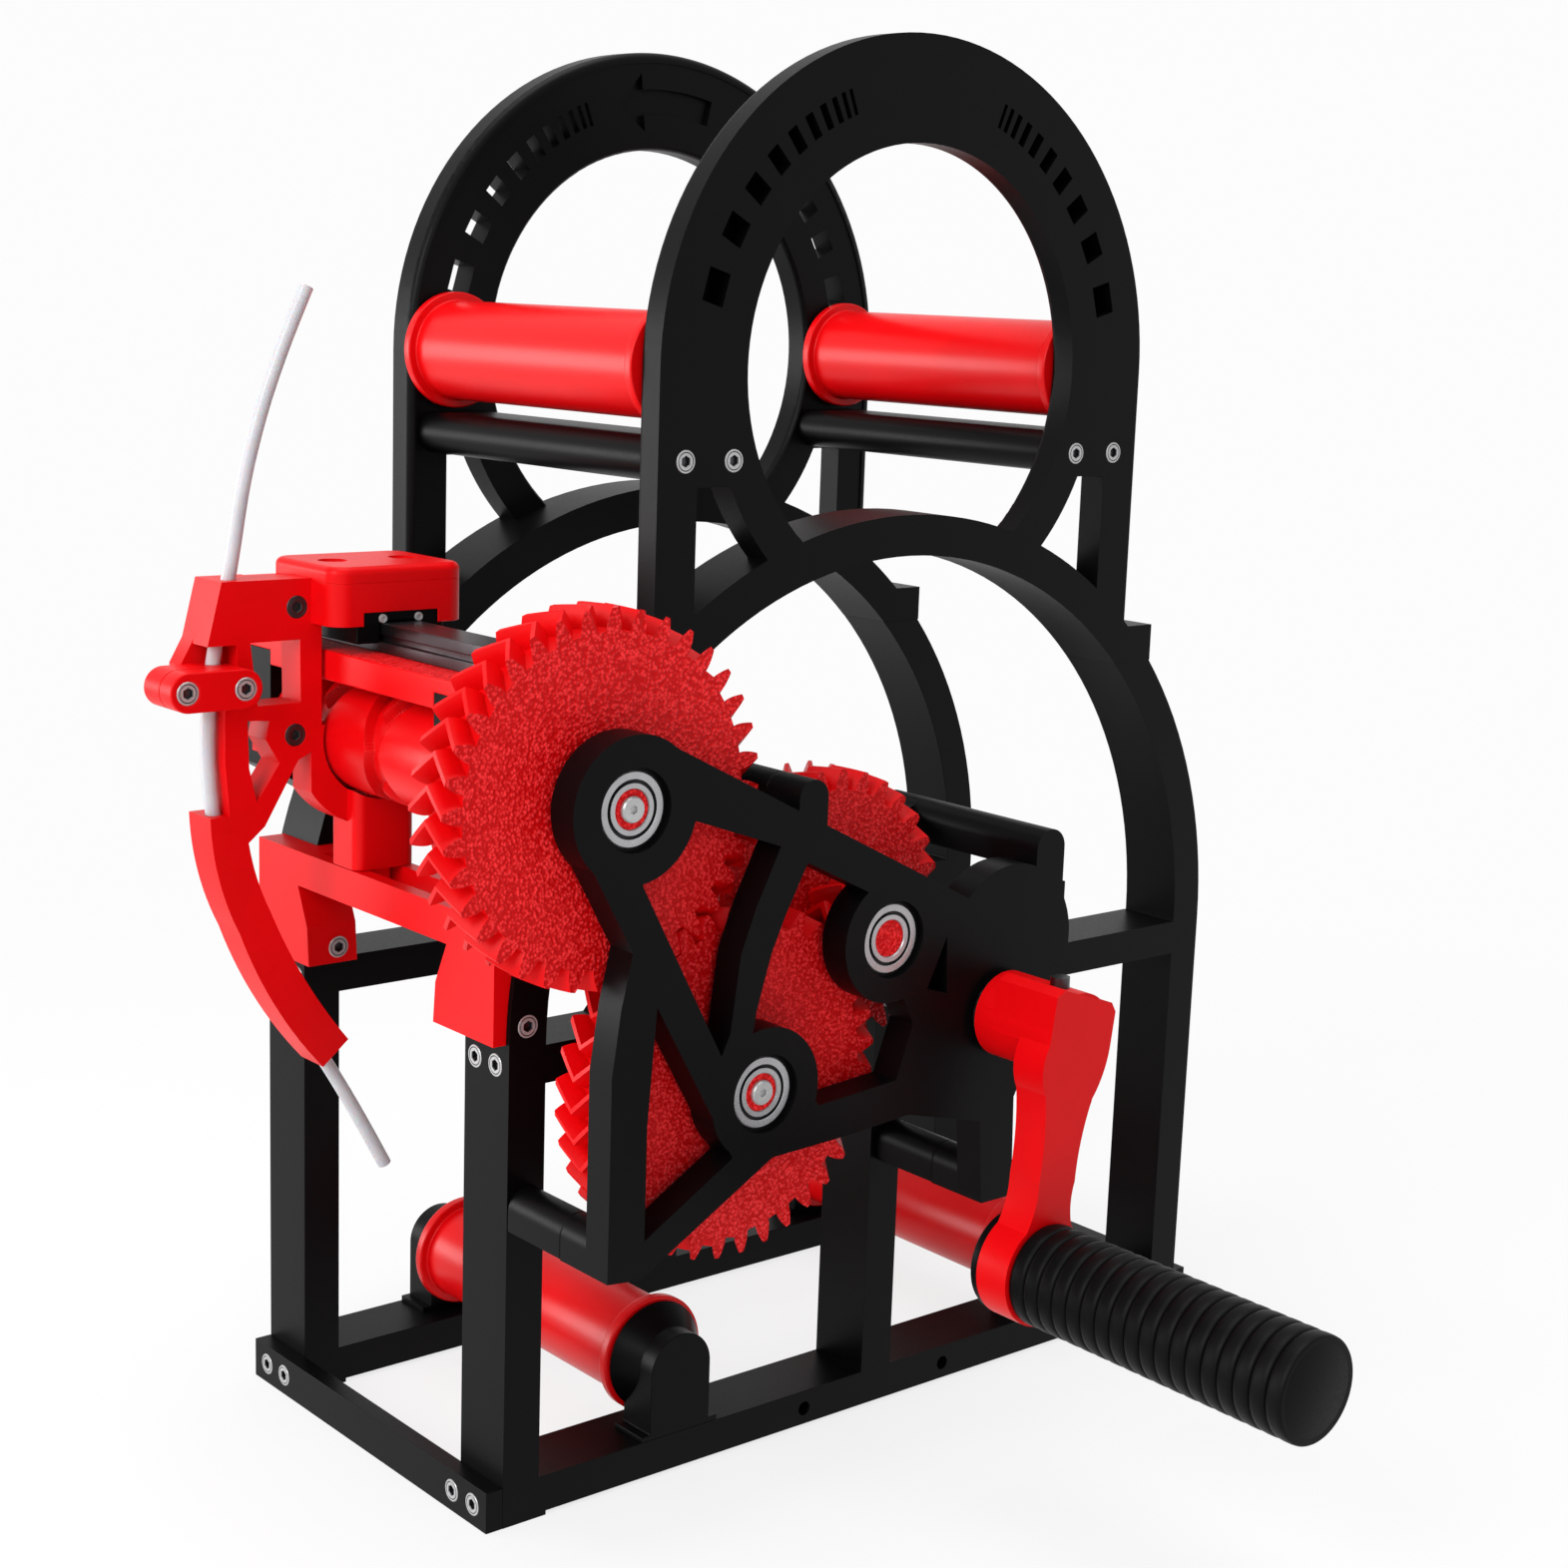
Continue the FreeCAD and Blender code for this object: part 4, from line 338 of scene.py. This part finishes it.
def band_faces(rings, count, base=0):
    """Faces between neighbouring rings of count points each; base is the first point's number."""
    faces = []
    for ring in range(rings - 1):
        first, second = base + ring * count, base + (ring + 1) * count
        for step in range(count):
            following = (step + 1) % count
            faces.append((first + step, first + following, second + following, second + step))
    return faces


def append_part(points, faces, some_points, some_faces):
    """Adds a part to the lists of a piece."""
    start = len(points)
    points += some_points
    faces += [tuple(corner + start for corner in face) for face in some_faces]


def turned(profile, centre, count):
    """Points, faces and material indices of a turned form about an axis along Y.

    profile: radius, y and the material index of the band that follows.
    """
    points, indices = [], []
    for radius, y, _ in profile:
        for step in range(count):
            turn = FULL_TURN * step / count
            points.append((centre[0] + radius * math.cos(turn), y,
                           centre[1] + radius * math.sin(turn)))
    for _, _, index in profile[:-1]:
        indices += [index] * count
    return points, band_faces(len(profile), count), indices


# Shaft axes (x, z) and levels in metres, from the nodes
def axis_of(name):
    low_corner, high_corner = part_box(name)
    return ((low_corner[0] + high_corner[0]) / 2, (low_corner[2] + high_corner[2]) / 2)


CRANK = axis_of("drive_shaft")
SECOND = (CRANK[0] - 0.04123, CRANK[1] + 0.02601)
TRANSFER = (CRANK[0] - 0.08381, CRANK[1] - 0.0088)
CAM = axis_of("barrel_cam")
GRIP = axis_of("handle_grip")
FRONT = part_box("front_lower_frame")[0][1]
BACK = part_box("back_lower_frame")[1][1]
MIDDLE = (FRONT + BACK) / 2
PLATE = FRONT - 0.0443

# Bearings: outer ring, a dark groove and the inner ring, on both faces
BEARING_WIDTH = 0.005
BEARING_BORE = 0.0050
BEARING_EDGE = 0.0003
BEARING_SIDE = [
    (BEARING_BORE, BEARING_EDGE, 0), (0.0052, 0.0, 0), (0.0064, 0.0, 0), (0.0065, 0.0001, 1),
    (0.0065, 0.0010, 1), (0.0074, 0.0010, 1), (0.0074, 0.0001, 0), (0.0075, 0.0, 0),
    (0.0092, 0.0, 0), (0.0095, BEARING_EDGE, 0),
]


def bearing_parts(centre, y):
    """One ball bearing whose front face is at y."""
    profile = [(radius, y + depth, index) for radius, depth, index in BEARING_SIDE]
    for number in range(len(BEARING_SIDE) - 1, -1, -1):
        radius, depth, _ = BEARING_SIDE[number]
        following = BEARING_SIDE[number - 1][2] if number > 0 else 0
        profile.append((radius, y + BEARING_WIDTH - depth, following))
    profile.append((BEARING_BORE, y + BEARING_EDGE, 0))
    return turned(profile, centre, 96)


def bearings(name, node, places):
    points, faces, indices = [], [], []
    for centre, y in places:
        some_points, some_faces, some_indices = bearing_parts(centre, y)
        append_part(points, faces, some_points, some_faces)
        indices += some_indices
    piece = add_piece(name, points, faces, "frame", [ring_steel, seal_and_socket_shade], indices)
    crease(piece, 25)
    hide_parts(node)


PLATE_SEAT = PLATE + 0.0017
CAM_FRONT_SEAT = FRONT + 0.0155
BACK_SEAT = BACK - 0.0205
bearings("plate_bearing_set", "plate_bearings", [
    (CAM, PLATE_SEAT), (SECOND, PLATE_SEAT), (TRANSFER, PLATE_SEAT), (CRANK, PLATE_SEAT)])
bearings("frame_bearing_set", "frame_bearings", [
    (CRANK, FRONT), (SECOND, FRONT), (TRANSFER, FRONT), (CAM, CAM_FRONT_SEAT), (CAM, BACK_SEAT),
    (CRANK, BACK_SEAT)])
UPPER_SEATS = (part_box("upper_roller_bearings")[0][1],
               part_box("upper_roller_bearings")[1][1] - BEARING_WIDTH)
LOWER_SEATS = (FRONT + 0.0075, BACK - 0.0125)
UPPER_X, UPPER_Z = 0.0755, 0.3056
LOWER_X, LOWER_Z = 0.0738, 0.0302
upper_places = []
lower_places = []
for side in (-1, 1):
    for y in UPPER_SEATS:
        upper_places.append(((CRANK[0] + side * UPPER_X, UPPER_Z), y))
    for y in LOWER_SEATS:
        lower_places.append(((CRANK[0] + side * LOWER_X, LOWER_Z), y))
bearings("upper_bearing_set", "upper_roller_bearings", upper_places)
bearings("lower_bearing_set", "lower_roller_bearings", lower_places)


# Herringbone gears in two layers. In the solids the teeth lean less, and the other way.
MODULE = 0.0025
LARGE_TEETH, SECOND_TEETH, PINION_TEETH = 36, 31, 8
BACKLASH, PINION_BACKLASH = 0.00045, 0.0007
PINION_TIP = 0.0016
GEAR_WIDTH = 0.0144
CHEVRON = math.radians(-7.3)
PRESSURE = math.radians(20)
CAM_PHASE = math.radians(8.8)
SECOND_PHASE = math.radians(2.7)
FIRST_LAYER = FRONT - 0.018 - GEAR_WIDTH
SECOND_LAYER = FIRST_LAYER + GEAR_WIDTH + 0.001
FIRST_END = FIRST_LAYER + GEAR_WIDTH
SECOND_END = SECOND_LAYER + GEAR_WIDTH
SHAFT_RADIUS, COLLAR_RADIUS, COLLAR_GAP = 0.00495, 0.007, 0.0003
SHAFT_FRONT = PLATE + 0.0021
SHAFT_BACK = FRONT + BEARING_WIDTH
BEARING_BACK = PLATE_SEAT + BEARING_WIDTH + COLLAR_GAP
FRAME_FACE = FRONT - COLLAR_GAP
FLANK_ROWS = 6
GEAR_LEVELS = 8


def gear_section(teeth, backlash, tip):
    """One involute section: reach and turn of each corner."""
    pitch = MODULE * teeth / 2
    base = pitch * math.cos(PRESSURE)
    root = pitch - 1.25 * MODULE
    half = math.pi / (2 * teeth) - backlash / (2 * pitch)
    flank = []
    for row in range(FLANK_ROWS + 1):
        reach = root + (pitch + tip - root) * row / FLANK_ROWS
        tangent = math.acos(base / max(reach, base))
        from_middle = half + math.tan(PRESSURE) - PRESSURE - math.tan(tangent) + tangent
        flank.append((reach, from_middle))
    corners = []
    for number in range(teeth):
        middle = FULL_TURN * number / teeth
        corners += [(reach, middle - from_middle) for reach, from_middle in flank]
        corners += [(reach, middle + from_middle) for reach, from_middle in reversed(flank)]
    return corners


def gear_parts(axis, teeth, backlash, tip, phase, start, chevron):
    """Points and faces of a herringbone gear; chevron is the turn of a tooth at mid width."""
    section = gear_section(teeth, backlash, tip)
    count = len(section)
    points = []
    for level in range(GEAR_LEVELS + 1):
        turn = phase + chevron * (1 - abs(level - GEAR_LEVELS / 2) / (GEAR_LEVELS / 2))
        y = start + GEAR_WIDTH * level / GEAR_LEVELS
        for reach, angle in section:
            points.append((axis[0] + reach * math.cos(angle + turn), y,
                           axis[1] + reach * math.sin(angle + turn)))
    faces = band_faces(GEAR_LEVELS + 1, count)
    faces.append(tuple(reversed(range(count))))
    faces.append(tuple(GEAR_LEVELS * count + corner for corner in range(count)))
    return points, faces


def bar_parts(axis, radius, start, end):
    """A round bar along Y with closed ends."""
    profile = [(CLOSED, start, 0), (radius, start, 0), (radius, end, 0), (CLOSED, end, 0)]
    points, faces, _ = turned(profile, axis, 64)
    return points, faces


def meshed(axis, phase, teeth, other_axis, other_teeth):
    """The phase of the gear that meshes with a gear of the given phase."""
    line = math.atan2(other_axis[1] - axis[1], other_axis[0] - axis[0])
    return line + math.pi - (phase - line) * teeth / other_teeth - math.pi / other_teeth


def gear_piece(name, node, body, parts):
    points, faces = [], []
    for some_points, some_faces in parts:
        append_part(points, faces, some_points, some_faces)
    piece = add_piece(name, points, faces, body, [red_gear])
    crease(piece, 25)
    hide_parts(node)


transfer_phase = meshed(CAM, CAM_PHASE, LARGE_TEETH, TRANSFER, LARGE_TEETH)
pinion_phase = meshed(TRANSFER, transfer_phase, LARGE_TEETH, SECOND, PINION_TEETH)
crank_phase = meshed(SECOND, SECOND_PHASE, SECOND_TEETH, CRANK, PINION_TEETH)
SECOND_CHEVRON = -CHEVRON * LARGE_TEETH / SECOND_TEETH
PINION_CHEVRON = CHEVRON * LARGE_TEETH / PINION_TEETH
gear_piece("cam_gear_drawn", "cam_gear", "cam_shaft", [
    gear_parts(CAM, LARGE_TEETH, BACKLASH, MODULE, CAM_PHASE, FIRST_LAYER, CHEVRON),
    bar_parts(CAM, SHAFT_RADIUS, SHAFT_FRONT, FIRST_END),
    bar_parts(CAM, COLLAR_RADIUS, BEARING_BACK, FIRST_LAYER)])
gear_piece("transfer_gear_drawn", "transfer_gear", "transfer_shaft", [
    gear_parts(TRANSFER, LARGE_TEETH, BACKLASH, MODULE, transfer_phase, FIRST_LAYER, -CHEVRON),
    bar_parts(TRANSFER, SHAFT_RADIUS, SHAFT_FRONT, SHAFT_BACK),
    bar_parts(TRANSFER, COLLAR_RADIUS, BEARING_BACK, FIRST_LAYER),
    bar_parts(TRANSFER, COLLAR_RADIUS, FIRST_END, FRAME_FACE)])
gear_piece("second_gear_drawn", "second_gear", "second_shaft", [
    gear_parts(SECOND, SECOND_TEETH, BACKLASH, MODULE, SECOND_PHASE, SECOND_LAYER,
               SECOND_CHEVRON),
    gear_parts(SECOND, PINION_TEETH, PINION_BACKLASH, PINION_TIP, pinion_phase, FIRST_LAYER,
               PINION_CHEVRON),
    bar_parts(SECOND, SHAFT_RADIUS, SHAFT_FRONT, SHAFT_BACK),
    bar_parts(SECOND, COLLAR_RADIUS, BEARING_BACK, FIRST_LAYER),
    bar_parts(SECOND, COLLAR_RADIUS, FIRST_END, SECOND_LAYER),
    bar_parts(SECOND, COLLAR_RADIUS, SECOND_END, FRAME_FACE)])
gear_piece("crank_pinion_drawn", "crank_pinion", "crank", [
    gear_parts(CRANK, PINION_TEETH, PINION_BACKLASH, PINION_TIP, crank_phase, SECOND_LAYER,
               PINION_CHEVRON),
    bar_parts(CRANK, COLLAR_RADIUS, BEARING_BACK, SECOND_LAYER),
    bar_parts(CRANK, COLLAR_RADIUS, SECOND_END, FRAME_FACE)])


# Screws
SCREW_STEPS = 48
SCREW_TIP, SCREW_STEM = 0.0011, 0.0015
SCREW_SOCKET = 0.0012


def hexagon(flat_radius):
    """The radius of a hexagon at each angle."""
    def reach(turn):
        sector = (turn + math.pi / 6) % (math.pi / 3) - math.pi / 6
        return flat_radius / math.cos(sector)
    return reach


def round_of(radius):
    """The radius of a circle at each angle."""
    def reach(turn):
        return radius
    return reach


def socket_screw(name, centre, face, head_radius, head_height, socket, body, material):
    """A round screw head with a hexagon socket that looks towards -Y."""
    points = []
    rings = [
        (round_of(head_radius), face + head_height),
        (round_of(head_radius), face + head_height * 0.35),
        (round_of(head_radius * 0.9), face),
        (hexagon(socket * 1.12), face),
        (hexagon(socket), face + 0.0001),
        (hexagon(socket), face + head_height * 0.6),
        (round_of(CLOSED), face + head_height * 0.62),
    ]
    for reach, y in rings:
        for step in range(SCREW_STEPS):
            turn = FULL_TURN * step / SCREW_STEPS
            points.append((centre[0] + reach(turn) * math.cos(turn), y,
                           centre[1] + reach(turn) * math.sin(turn)))
    faces = band_faces(len(rings), SCREW_STEPS)
    piece = add_piece(name, points, faces, body, [material])
    crease(piece, 25)


def loose_parts(name):
    """The corner points of each separate body of a CAD node, in the scene's frame."""
    piece = nodes[name]
    corners = [piece.matrix_world @ vertex.co for vertex in piece.data.vertices]
    group = list(range(len(corners)))

    def first_of(index):
        while group[index] != index:
            index = group[index]
        return index

    same_place = {}
    for index, corner in enumerate(corners):
        key = tuple(round(value, 6) for value in corner)
        group[index] = same_place.setdefault(key, index)
    for face in piece.data.polygons:
        for vertex in face.vertices[1:]:
            group[first_of(vertex)] = first_of(face.vertices[0])
    parts = {}
    for index, corner in enumerate(corners):
        parts.setdefault(first_of(index), []).append(corner)
    return list(parts.values())


def screw_profile(head_radius):
    """Rings of a countersunk screw: outline, depth below the face, material index of the band."""
    # Bands with index 1 are painted shade: the thin groove inside the rim and the hexagon socket
    # are coloured dark
    return [
        (round_of(SCREW_TIP), 0.0119, 0),
        (round_of(SCREW_STEM), 0.0116, 0),
        (round_of(SCREW_STEM), head_radius - 0.0015, 0),
        (round_of(head_radius), 0.0002, 0),
        (round_of(head_radius - 0.0002), 0.0, 0),
        (round_of(head_radius - 0.0006), 0.0, 1),
        (round_of(head_radius - 0.0007), 0.00012, 1),
        (round_of(head_radius - 0.0009), 0.0, 0),
        (hexagon(SCREW_SOCKET * 1.15), 0.0, 1),
        (hexagon(SCREW_SOCKET), 0.0002, 1),
        (hexagon(SCREW_SOCKET), 0.0012, 1),
        (hexagon(CLOSED), 0.0013, 1),
    ]


def head_at_low_end(part, middle, along, first, second):
    """Whether the wider end of a screw is its low one."""
    ends = {}
    for corner in part:
        reach = math.hypot(corner[first] - middle[first], corner[second] - middle[second])
        end = round(corner[along], 5)
        ends[end] = max(reach, ends.get(end, 0))
    return ends[min(ends)] > ends[max(ends)]


def countersunk_screws(node, ring, painted_recess_shade, body):
    """Draws every screw of a node again, with a rim, a flat ring and a hexagon socket. The second
    material paints shade into the thin groove by the rim and into the socket.
    """
    points, faces, indices = [], [], []
    for part in loose_parts(node):
        lowest = [min(corner[axis] for corner in part) for axis in range(3)]
        highest = [max(corner[axis] for corner in part) for axis in range(3)]
        spans = [highest[axis] - lowest[axis] for axis in range(3)]
        along = spans.index(max(spans))
        first, second = [axis for axis in range(3) if axis != along]
        middle = [(lowest[axis] + highest[axis]) / 2 for axis in range(3)]
        head_low = head_at_low_end(part, middle, along, first, second)
        face_level = lowest[along] if head_low else highest[along]
        inward = 1 if head_low else -1
        rings = screw_profile(spans[first] / 2)
        faces += band_faces(len(rings), SCREW_STEPS, len(points))
        for _, _, index in rings[:-1]:
            indices += [index] * SCREW_STEPS
        for outline, depth, _ in rings:
            for step in range(SCREW_STEPS):
                turn = FULL_TURN * step / SCREW_STEPS
                point = [0.0, 0.0, 0.0]
                point[along] = face_level + inward * depth
                point[first] = middle[first] + outline(turn) * math.cos(turn)
                point[second] = middle[second] + outline(turn) * math.sin(turn)
                points.append(tuple(point))
    piece = add_piece(node + "_drawn", points, faces, body, [ring, painted_recess_shade], indices)
    crease(piece, 25)
    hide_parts(node)


for node, body in (("end_bar_screws", "frame"), ("cross_beam_screws", "frame"),
                   ("foot_screws", "frame"), ("pad_screws", "frame"),
                   ("clamp_screws", "carriage")):
    countersunk_screws(node, steel, dark_steel_and_recess_shade, body)
# The guide screws sit deep in holes: painted shade of the holes makes their heads dark steel and
# their sockets near black
countersunk_screws("guide_screws", dark_steel_and_recess_shade, seal_and_socket_shade, "carriage")

SHAFT_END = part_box("transfer_gear")[0][1]
SCREW_FACE = PLATE + 0.0009
SHAFT_HEAD_HEIGHT = SHAFT_END - SCREW_FACE + 0.0001
for name, axis, body in (("cam_shaft_screw", CAM, "cam_shaft"),
                         ("transfer_shaft_screw", TRANSFER, "transfer_shaft")):
    socket_screw(name, axis, SCREW_FACE, 0.0033, SHAFT_HEAD_HEIGHT, 0.001, body,
                 steel)
BLOCK_LOW, BLOCK_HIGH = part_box("carriage_block")
BLOCK_MIDDLE = (BLOCK_LOW[0] + BLOCK_HIGH[0]) / 2
BLOCK_SCREW_FACE = BLOCK_LOW[1] - 0.0007
BLOCK_SCREW_Z = 0.2365
for number, across in enumerate((-0.0056, 0.0055)):
    socket_screw(f"block_screw_{number}", (BLOCK_MIDDLE + across, BLOCK_SCREW_Z),
                 BLOCK_SCREW_FACE, 0.0012, 0.0008, 0.0005, "carriage", steel)


# Barrel cam with two crossing grooves
DRUM_RADIUS = 0.016
DRUM_START, DRUM_END = FRONT + 0.0211, BACK - 0.0211
DRUM_STEPS, DRUM_ROWS = 288, 260
DRUM_EDGE = 0.0005
DRUM_SHAFT_START, DRUM_SHAFT_END = FRONT - 0.018, BACK - 0.0155
GROOVE_DEPTH = 0.0028
GROOVE_HALF = 0.0026
GROOVE_EDGE = 0.0005
GROOVE_TRAVEL = 0.0268
GROOVE_TURNS = 1.75
GROOVE_LAPS = 4
GROOVE_REST = 0.004


def groove_distance(y, turn):
    """Distance along the drum's surface from a point to the middle of the nearest groove."""
    slope = math.sqrt(1 + (GROOVE_TRAVEL * 2 / (FULL_TURN * GROOVE_TURNS * DRUM_RADIUS)) ** 2)
    distance = 1.0
    for lap in range(-GROOVE_LAPS, GROOVE_LAPS + 1):
        for way in (-1, 1):
            along = way * turn + FULL_TURN * lap
            centre = -GROOVE_TRAVEL + 2 * GROOVE_TRAVEL * along / (FULL_TURN * GROOVE_TURNS)
            if -GROOVE_TRAVEL - GROOVE_REST < centre < GROOVE_TRAVEL + GROOVE_REST:
                centre = max(-GROOVE_TRAVEL, min(GROOVE_TRAVEL, centre))
                distance = min(distance, abs(y - MIDDLE - centre) / slope)
    return distance


def grooved_cam():
    points = []
    for row in range(DRUM_ROWS + 1):
        y = DRUM_START + (DRUM_END - DRUM_START) * row / DRUM_ROWS
        for step in range(DRUM_STEPS):
            turn = FULL_TURN * step / DRUM_STEPS
            beyond = (groove_distance(y, turn) - GROOVE_HALF) / GROOVE_EDGE
            reach = DRUM_RADIUS - GROOVE_DEPTH * (1 - min(1, max(0, beyond)))
            edge = min(y - DRUM_START, DRUM_END - y)
            if edge < DRUM_EDGE:
                reach -= DRUM_EDGE - edge
            points.append((CAM[0] + reach * math.cos(turn), y, CAM[1] + reach * math.sin(turn)))
    faces = band_faces(DRUM_ROWS + 1, DRUM_STEPS)
    faces.append(tuple(reversed(range(DRUM_STEPS))))
    faces.append(tuple(DRUM_ROWS * DRUM_STEPS + step for step in range(DRUM_STEPS)))
    profile = [(CLOSED_WIDE, DRUM_SHAFT_START, 0), (SHAFT_RADIUS, DRUM_SHAFT_START, 0),
               (SHAFT_RADIUS, DRUM_SHAFT_END, 0), (CLOSED_WIDE, DRUM_SHAFT_END, 0)]
    shaft_points, shaft_faces, _ = turned(profile, CAM, 48)
    append_part(points, faces, shaft_points, shaft_faces)
    piece = add_piece("barrel_cam_grooved", points, faces, "cam_shaft", [red_roller])
    crease(piece, 35)
    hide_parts("barrel_cam")


grooved_cam()


# Ribbed grip. A rib is given as shares of the pitch and depths from the full radius.
GRIP_RADIUS = 0.0142
GRIP_RIBS = 18
RIB_SHAPE = [(0.03, -0.00035), (0.1, -0.00012), (0.3, 0.0), (0.65, 0.0), (0.85, -0.0001),
             (0.93, -0.0004), (0.945, -0.0009), (0.985, -0.0009)]
LAST_RIB_SHAPE = RIB_SHAPE[:5] + [(0.96, -0.0003)]


def ribbed_grip():
    start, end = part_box("handle_grip")[0][1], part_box("handle_grip")[1][1]
    pitch = (end - start) / GRIP_RIBS
    profile = [(CLOSED_WIDE, start, 0), (GRIP_RADIUS - 0.0024, start, 0),
               (GRIP_RADIUS - 0.0019, start + 0.00025, 0), (GRIP_RADIUS - 0.0007, start, 0)]
    for rib in range(GRIP_RIBS):
        low_y = start + rib * pitch
        shape = LAST_RIB_SHAPE if rib == GRIP_RIBS - 1 else RIB_SHAPE
        for share, depth in shape:
            profile.append((GRIP_RADIUS + depth, low_y + share * pitch, 0))
    profile += [(GRIP_RADIUS - 0.0006, end, 0), (CLOSED_WIDE, end, 0)]
    points, faces, indices = turned(profile, GRIP, 128)
    piece = add_piece("ribbed_grip", points, faces, "grip", [grip_black])
    crease(piece, 40)
    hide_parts("handle_grip")


ribbed_grip()


# Floor that fades into white paper, and the same white behind it
PAPER = 0.975
WORLD_LIGHT = 0.5
FLOOR_HALF = 6
FLOOR_TONE = (0.9, 0.9, 0.9, 1)
FADE_START, FADE_END = 0.25, 0.7


def seen_directly(tree):
    """One for camera, glossy and transmission rays, else zero."""
    rays = tree.nodes.new("ShaderNodeLightPath")
    total = rays.outputs["Is Camera Ray"]
    for kind in ("Is Glossy Ray", "Is Transmission Ray"):
        total = combine(tree, "MAXIMUM", total, rays.outputs[kind])
    return total


def paper_material():
    """Pale and lit near the winder, evenly white further out."""
    material, tree, shader = new_material("pale_floor")
    shader.inputs["Base Color"].default_value = FLOOR_TONE
    shader.inputs["Roughness"].default_value = 0.8
    shader.inputs["Specular IOR Level"].default_value = 0.1
    coordinates = tree.nodes.new("ShaderNodeTexCoord")
    away = tree.nodes.new("ShaderNodeVectorMath")
    away.operation = "LENGTH"
    tree.links.new(coordinates.outputs["Object"], away.inputs[0])
    fade = spread(tree, away.outputs["Value"], 0.8, 1.0, FADE_START, FADE_END)
    share = combine(tree, "MULTIPLY", fade, seen_directly(tree))
    paper = tree.nodes.new("ShaderNodeEmission")
    paper.inputs["Strength"].default_value = PAPER
    mixed = tree.nodes.new("ShaderNodeMixShader")
    tree.links.new(share, mixed.inputs["Fac"])
    tree.links.new(shader.outputs["BSDF"], mixed.inputs[1])
    tree.links.new(paper.outputs["Emission"], mixed.inputs[2])
    tree.links.new(mixed.outputs["Shader"], tree.nodes["Material Output"].inputs["Surface"])
    return material


mesh = bpy.data.meshes.new("floor")
floor_corners = [(-FLOOR_HALF, -FLOOR_HALF, 0), (FLOOR_HALF, -FLOOR_HALF, 0),
                 (FLOOR_HALF, FLOOR_HALF, 0), (-FLOOR_HALF, FLOOR_HALF, 0)]
mesh.from_pydata(floor_corners, [], [(0, 1, 2, 3)])
mesh.materials.append(paper_material())
floor = bpy.data.objects.new("floor", mesh)
bpy.context.scene.collection.objects.link(floor)

world = bpy.data.worlds.new("studio")
bpy.context.scene.world = world
world.use_nodes = True
world_tree = world.node_tree
background = world_tree.nodes["Background"]
background.inputs["Color"].default_value = (1, 1, 1, 1)
strength = world_tree.nodes.new("ShaderNodeMapRange")
strength.inputs["To Min"].default_value = WORLD_LIGHT
strength.inputs["To Max"].default_value = PAPER
world_tree.links.new(seen_directly(world_tree), strength.inputs["Value"])
world_tree.links.new(strength.outputs["Result"], background.inputs["Strength"])


# Softboxes
def softbox(name, place, target, width, height, power):
    light = bpy.data.lights.new(name, "AREA")
    light.shape = "RECTANGLE"
    light.size = width
    light.size_y = height
    light.energy = power
    lamp = bpy.data.objects.new(name, light)
    lamp.location = place
    direction = Vector(target) - Vector(place)
    lamp.rotation_mode = "QUATERNION"
    lamp.rotation_quaternion = direction.to_track_quat("-Z", "Y")
    lamp.visible_camera = False
    bpy.context.scene.collection.objects.link(lamp)


LIT_PLACE = (CRANK[0] - 0.02, MIDDLE - 0.05, 0.2)
# Name, place, width, height and power
SOFTBOXES = (
    ("key_light", (-1.5, -0.3, 1.0), 0.8, 1.0, 20),
    ("side_light", (-1.3, 1.3, 0.3), 0.9, 0.6, 16),
    ("fill_light", (-0.9, -1.6, 0.9), 0.8, 1.0, 4),
    ("top_light", (0.0, 0.1, 1.6), 1.0, 1.0, 12),
)
for name, place, width, height, power in SOFTBOXES:
    softbox(name, place, LIT_PLACE, width, height, power)


# Camera fitted to the photograph's view
AZIMUTH = math.radians(-40.39)
ELEVATION = math.radians(11.01)
ROLL = math.radians(2.0)
CAMERA_PLACE = (CRANK[0] - 0.48994, MIDDLE - 0.58699, 0.32735)
LENS, SENSOR_WIDTH = 58.8, 36
back = Vector((math.sin(AZIMUTH) * math.cos(ELEVATION), -math.cos(AZIMUTH) * math.cos(ELEVATION),
               math.sin(ELEVATION)))
right = (-back).cross(Vector((0, 0, 1))).normalized()
up = right.cross(-back)
rolled_right = right * math.cos(ROLL) + up * math.sin(ROLL)
rolled_up = up * math.cos(ROLL) - right * math.sin(ROLL)
camera_data = bpy.data.cameras.new("camera")
camera_data.lens = LENS
camera_data.sensor_width = SENSOR_WIDTH
camera = bpy.data.objects.new("camera", camera_data)
turn = Matrix((rolled_right, rolled_up, back)).transposed().to_4x4()
camera.matrix_world = Matrix.Translation(CAMERA_PLACE) @ turn
bpy.context.scene.collection.objects.link(camera)
bpy.context.scene.camera = camera
bpy.context.scene.view_settings.view_transform = "Standard"
